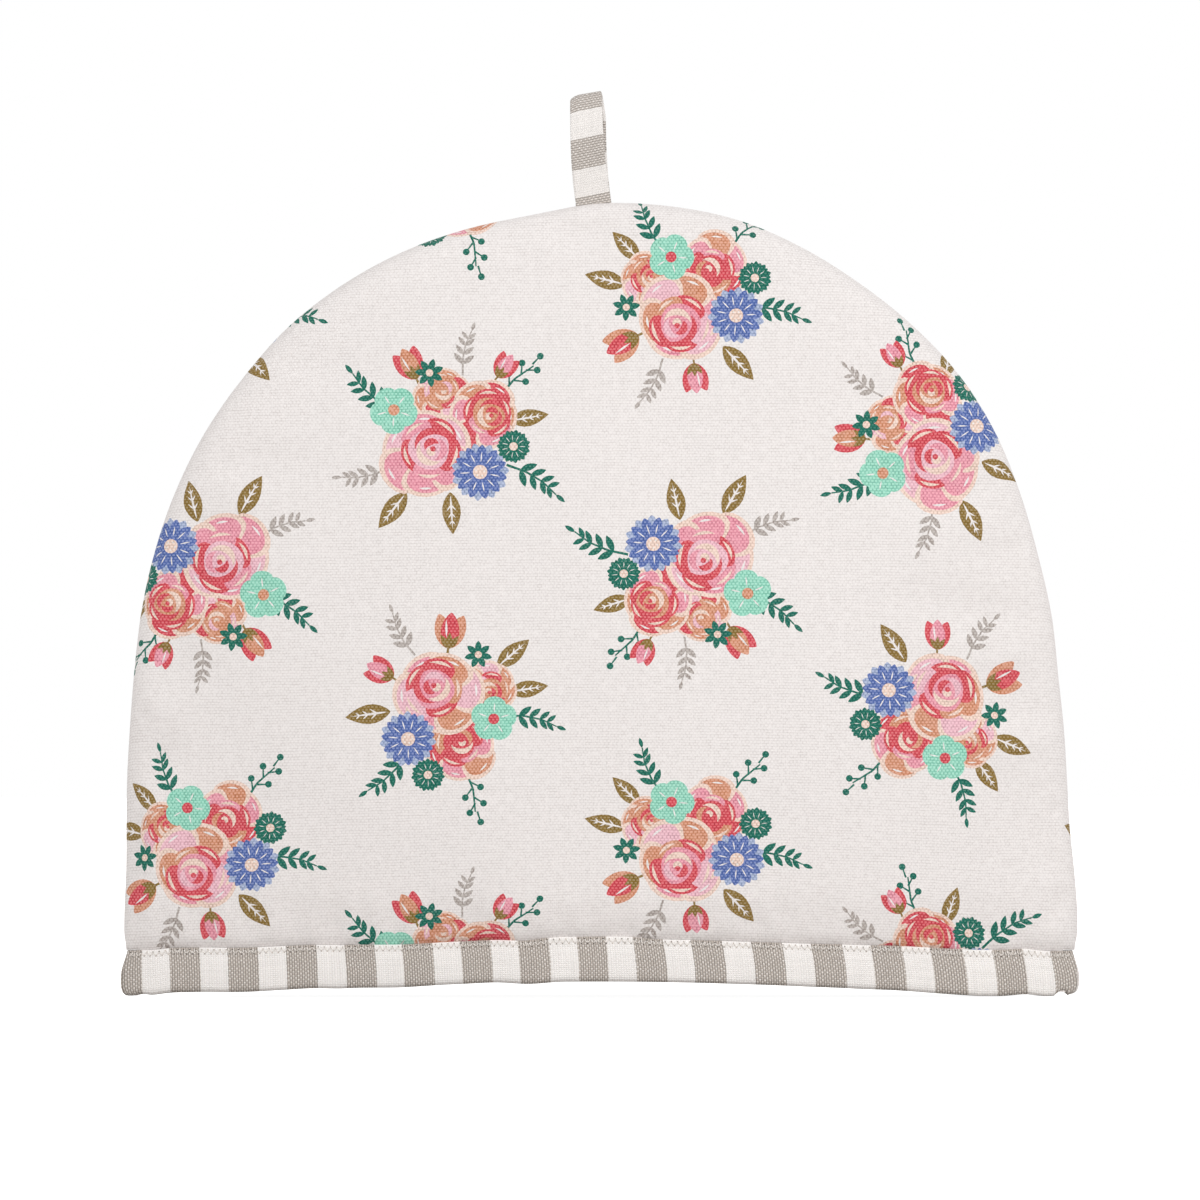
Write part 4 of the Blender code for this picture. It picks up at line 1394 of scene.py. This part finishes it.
class COSY_OT_stitches(bpy.types.Operator):
    """Sew a zigzag of stitches along the upper edge of both bands"""

    bl_idname = "cosy.stitches"
    bl_label = "Stitches"

    def execute(self, context):
        cloth = context.scene.cosy_ticking
        hole = shaded_hole(tuple(cloth.hole_shadow_on_white), tuple(cloth.hole_shadow_on_grey))
        tree = self.stitch_tree(sewing_thread(tuple(cloth.thread)), hole)
        sockets = {item.name: item.identifier for item in tree.interface.items_tree
                   if item.in_out == "INPUT"}
        for name, side in (("front", FRONT), ("back", BACK)):
            carrier = self.needle_path(name, side, cloth)
            modifier = carrier.modifiers.new("Stitches", "NODES")
            modifier.node_group = tree
            modifier[sockets["Thread"]] = cloth.sewing
            modifier[sockets["Hole"]] = cloth.hole
            modifier[sockets["Seed"]] = cloth.seed + side
            seen = carrier.evaluated_get(context.evaluated_depsgraph_get())
            mesh = bpy.data.meshes.new_from_object(seen)
            bpy.data.objects.remove(carrier, do_unlink=True)
            if not mesh.polygons:
                raise RuntimeError("the stitches came out empty")
            mesh.attributes.remove(mesh.attributes["way"])  # only placed the stitches
            mesh.name = name + "_band_stitches"
            piece = bpy.data.objects.new(mesh.name, mesh)
            context.scene.collection.objects.link(piece)
            mesh.shade_smooth()
            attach(piece, "root")
        return {"FINISHED"}

    def needle_path(self, name, side, cloth):
        """The needle's way along the outer and the inner leg of the band: an edge is a stitch.
        Each of its holes knows whether it is in a grey stripe."""
        half = HALF_WIDTH - STITCH_INSET
        stations = np.linspace(-half, half, 2 * int(half / (0.5 * cloth.stitch)) + 1)
        pitch = cloth.grey_width + cloth.white_width
        points, edges, greys = [], [], []
        for outer in (True, False):
            for k, x in enumerate(stations):
                deep = -THREAD_STANDS
                if outer:
                    deep = band_depth(x, BAND_HEIGHT / 2) + THREAD_STANDS
                height = BAND_HEIGHT - (STITCH_LOW if k % 2 else STITCH_HIGH)
                if k:
                    edges.append((len(points) - 1, len(points)))
                points.append(band_surface(x, np.array([(deep, height)]), side)[0])
                along = band_cloth(x, np.array([BAND_HEIGHT - BAND_CLOTH / 2 - height]), side)[0, 0]
                greys.append(float((along - FIRST_GREY) % pitch < cloth.grey_width))
        mesh = bpy.data.meshes.new(name + "_needle")
        mesh.from_pydata(points, edges, [])
        mesh.attributes.new("grey_stripe", "FLOAT", "POINT").data.foreach_set("value", greys)
        made = bpy.data.objects.new(name + "_needle", mesh)
        bpy.context.scene.collection.objects.link(made)
        return made

    def stitch_tree(self, thread_look, hole_look):
        """Nodes that lay one thread along each edge and shade a needle hole at each point."""
        tree = bpy.data.node_groups.new("zigzag stitches", "GeometryNodeTree")
        face = tree.interface
        face.new_socket("Geometry", in_out="INPUT", socket_type="NodeSocketGeometry")
        for name, kind, value in (
            ("Thread", "NodeSocketFloat", 0.4 * MM),
            ("Hole", "NodeSocketFloat", 0.5 * MM),
            ("Seed", "NodeSocketInt", 1),
        ):
            face.new_socket(name, in_out="INPUT", socket_type=kind).default_value = value
        face.new_socket("Geometry", in_out="OUTPUT", socket_type="NodeSocketGeometry")
        given = add(tree, "NodeGroupInput")
        ends = add(tree, "GeometryNodeInputMeshEdgeVertices")
        way = add(tree, "ShaderNodeVectorMath", {
            0: ends.outputs["Position 2"], 1: ends.outputs["Position 1"],
        }, operation="SUBTRACT")
        marked = add(tree, "GeometryNodeStoreNamedAttribute", {
            "Geometry": given.outputs["Geometry"], "Name": "way", "Value": way.outputs[0],
        }, data_type="FLOAT_VECTOR", domain="EDGE")
        places = add(tree, "GeometryNodeMeshToPoints", {"Mesh": marked.outputs[0]}, mode="EDGES")
        kept = add(tree, "GeometryNodeInputNamedAttribute", {"Name": "way"},
                   data_type="FLOAT_VECTOR")
        turned = add(tree, "FunctionNodeAlignRotationToVector", {"Vector": kept.outputs[0]},
                     axis="X")
        length = add(tree, "ShaderNodeVectorMath", {0: kept.outputs[0]}, operation="LENGTH")
        vary = add(tree, "FunctionNodeRandomValue", {
            0: (0.92, 0.85, 0.85), 1: (1.04, 1.12, 1.12), "Seed": given.outputs["Seed"],
        }, data_type="FLOAT_VECTOR")
        size = add(tree, "ShaderNodeCombineXYZ", {
            0: length.outputs["Value"], 1: given.outputs["Thread"], 2: given.outputs["Thread"],
        })
        scale = add(tree, "ShaderNodeVectorMath", {0: size.outputs[0], 1: vary.outputs[0]},
                    operation="MULTIPLY")
        ball = add(tree, "GeometryNodeMeshUVSphere", {"Segments": 6, "Rings": 5, "Radius": 0.5})
        sewn = add(tree, "GeometryNodeInstanceOnPoints", {
            "Points": places.outputs[0], "Instance": ball.outputs["Mesh"],
            "Rotation": turned.outputs[0], "Scale": scale.outputs[0],
        })
        corners = add(tree, "GeometryNodeMeshToPoints", {"Mesh": given.outputs["Geometry"]},
                      mode="VERTICES")
        # a flat dark disc at each needle hole: the hole's painted shadow
        flat = add(tree, "ShaderNodeCombineXYZ", {
            0: given.outputs["Hole"], 1: 0.2 * MM, 2: given.outputs["Hole"],
        })
        pierced = add(tree, "GeometryNodeInstanceOnPoints", {
            "Points": corners.outputs[0], "Instance": ball.outputs["Mesh"],
            "Scale": flat.outputs[0],
        })
        parts = add(tree, "GeometryNodeJoinGeometry")
        for made, look in ((sewn, thread_look), (pierced, hole_look)):
            real = add(tree, "GeometryNodeRealizeInstances", {0: made.outputs[0]})
            dyed = add(tree, "GeometryNodeSetMaterial", {
                "Geometry": real.outputs[0], "Material": look,
            })
            tree.links.new(dyed.outputs[0], parts.inputs[0])
        add(tree, "NodeGroupOutput", {"Geometry": parts.outputs[0]})
        return tree


AIMED_AT = 0.15  # height above the table that all lamps face


class COSY_OT_stage(bpy.types.Operator):
    """Set out the white table, the soft lights and the camera"""

    bl_idname = "cosy.stage"
    bl_label = "Stage"

    def execute(self, context):
        stage = context.scene.cosy_stage
        scene = context.scene
        half = stage.table / 2
        corners = [(-half, -half, 0), (half, -half, 0), (half, half, 0), (-half, half, 0)]
        table = new_piece("table_top", np.array(corners) - (0, 0, 0.2 * MM), [(0, 1, 2, 3)],
                          [self.paper(tuple(stage.paper), stage.glow)], body=None)
        self.surround(stage.surround)
        for name, place, size, power in (
            ("key lamp", (2.2, -1.8, 1.0), 1.2, stage.key),
            ("fill lamp", (-2.2, -1.8, 1.0), 1.2, stage.fill),
            ("front lamp", (0.0, -3.0, 0.8), 1.2, stage.front),
            ("back lamp", (0.4, 2.8, 1.6), 1.4, stage.back),
        ):
            self.lamp(name, place, size, power)
        camera = bpy.data.cameras.new("camera")
        camera.sensor_width = 36.0
        camera.lens = camera.sensor_width * stage.distance / stage.framed
        camera.clip_end = 40.0
        holder = bpy.data.objects.new("camera", camera)
        holder.location = (0.0, -stage.distance, stage.eye)
        holder.rotation_euler = (np.pi / 2, 0.0, 0.0)
        scene.collection.objects.link(holder)
        scene.camera = holder
        scene.view_settings.view_transform = "Standard"
        return {"FINISHED"}

    def paper(self, colour, glow):
        """Matt white paper, lit until it burns out to clean white with a faint shadow."""
        look, tree, shader = new_look("matt white paper", Roughness=0.95, Specular_IOR_Level=0.1)
        where = add(tree, "ShaderNodeTexCoord").outputs["Object"]
        fibre = add(tree, "ShaderNodeTexNoise", {"Vector": where, "Scale": 400.0, "Detail": 2.0})
        tone = add(tree, "ShaderNodeMapRange", {
            0: fibre.outputs[0], 1: 0.3, 2: 0.7, 3: 0.98, 4: 1.0,
        }).outputs[0]
        dress(tree, shader, colour, tone)
        shader.inputs["Emission Color"].default_value = (1, 1, 1, 1)
        # the glow is seen, but doesn't light the cosy from below
        seen = add(tree, "ShaderNodeLightPath").outputs["Is Camera Ray"]
        shown = add(tree, "ShaderNodeMath", {0: seen, 1: glow}, operation="MULTIPLY").outputs[0]
        tree.links.new(shown, shader.inputs["Emission Strength"])
        return look

    def surround(self, strength):
        """White paper all round: it is seen as plain white and lights the cosy more gently."""
        world = bpy.data.worlds.new("white surround")
        world.use_nodes = True
        tree = world.node_tree
        tree.nodes.clear()
        soft = add(tree, "ShaderNodeBackground", {"Color": (1, 1, 1, 1), "Strength": strength})
        seen = add(tree, "ShaderNodeBackground", {"Color": (1, 1, 1, 1), "Strength": 1.0})
        ray = add(tree, "ShaderNodeLightPath").outputs["Is Camera Ray"]
        mixed = add(tree, "ShaderNodeMixShader", {0: ray, 1: soft.outputs[0], 2: seen.outputs[0]})
        add(tree, "ShaderNodeOutputWorld", {"Surface": mixed.outputs[0]})
        bpy.context.scene.world = world

    def lamp(self, name, place, size, power):
        """A soft square lamp that faces the cosy."""
        light = bpy.data.lights.new(name, "AREA")
        light.size = size
        light.energy = power
        holder = bpy.data.objects.new(name, light)
        holder.location = place
        aim = Vector((0.0, 0.0, AIMED_AT)) - Vector(place)
        holder.rotation_euler = aim.to_track_quat("-Z", "Y").to_euler()
        bpy.context.scene.collection.objects.link(holder)


STEPS = (COSY_OT_panels, COSY_OT_bands, COSY_OT_loop, COSY_OT_stitches, COSY_OT_stage)


class COSY_PT_sidebar(bpy.types.Panel):
    """Lists the cosy's sizes, colours and steps in the sidebar"""

    bl_idname = "COSY_PT_sidebar"
    bl_label = "Tea cosy"
    bl_space_type = "VIEW_3D"
    bl_region_type = "UI"
    bl_category = "Cosy"

    def draw(self, context):
        layout = self.layout
        scene = context.scene
        for group in (scene.cosy_cloth, scene.cosy_inks, scene.cosy_ticking, scene.cosy_stage):
            box = layout.box()
            for name in group.bl_rna.properties.keys():
                if name not in ("rna_type", "name"):
                    box.prop(group, name)
        for step in STEPS:
            layout.operator(step.bl_idname)


GROUPS = (
    ("cosy_cloth", CosyCloth), ("cosy_inks", CosyInks), ("cosy_ticking", CosyTicking),
    ("cosy_stage", CosyStage),
)


def register():
    for name, group in GROUPS:
        bpy.utils.register_class(group)
        setattr(bpy.types.Scene, name, PointerProperty(type=group))
    for kind in (*STEPS, COSY_PT_sidebar):
        bpy.utils.register_class(kind)


def unregister():
    for kind in (COSY_PT_sidebar, *reversed(STEPS)):
        bpy.utils.unregister_class(kind)
    for name, group in reversed(GROUPS):
        delattr(bpy.types.Scene, name)
        bpy.utils.unregister_class(group)


def main():
    register()
    bpy.ops.cosy.panels()
    bpy.ops.cosy.bands()
    bpy.ops.cosy.loop()
    bpy.ops.cosy.stitches()
    bpy.ops.cosy.stage()


if __name__ == "__main__":
    main()
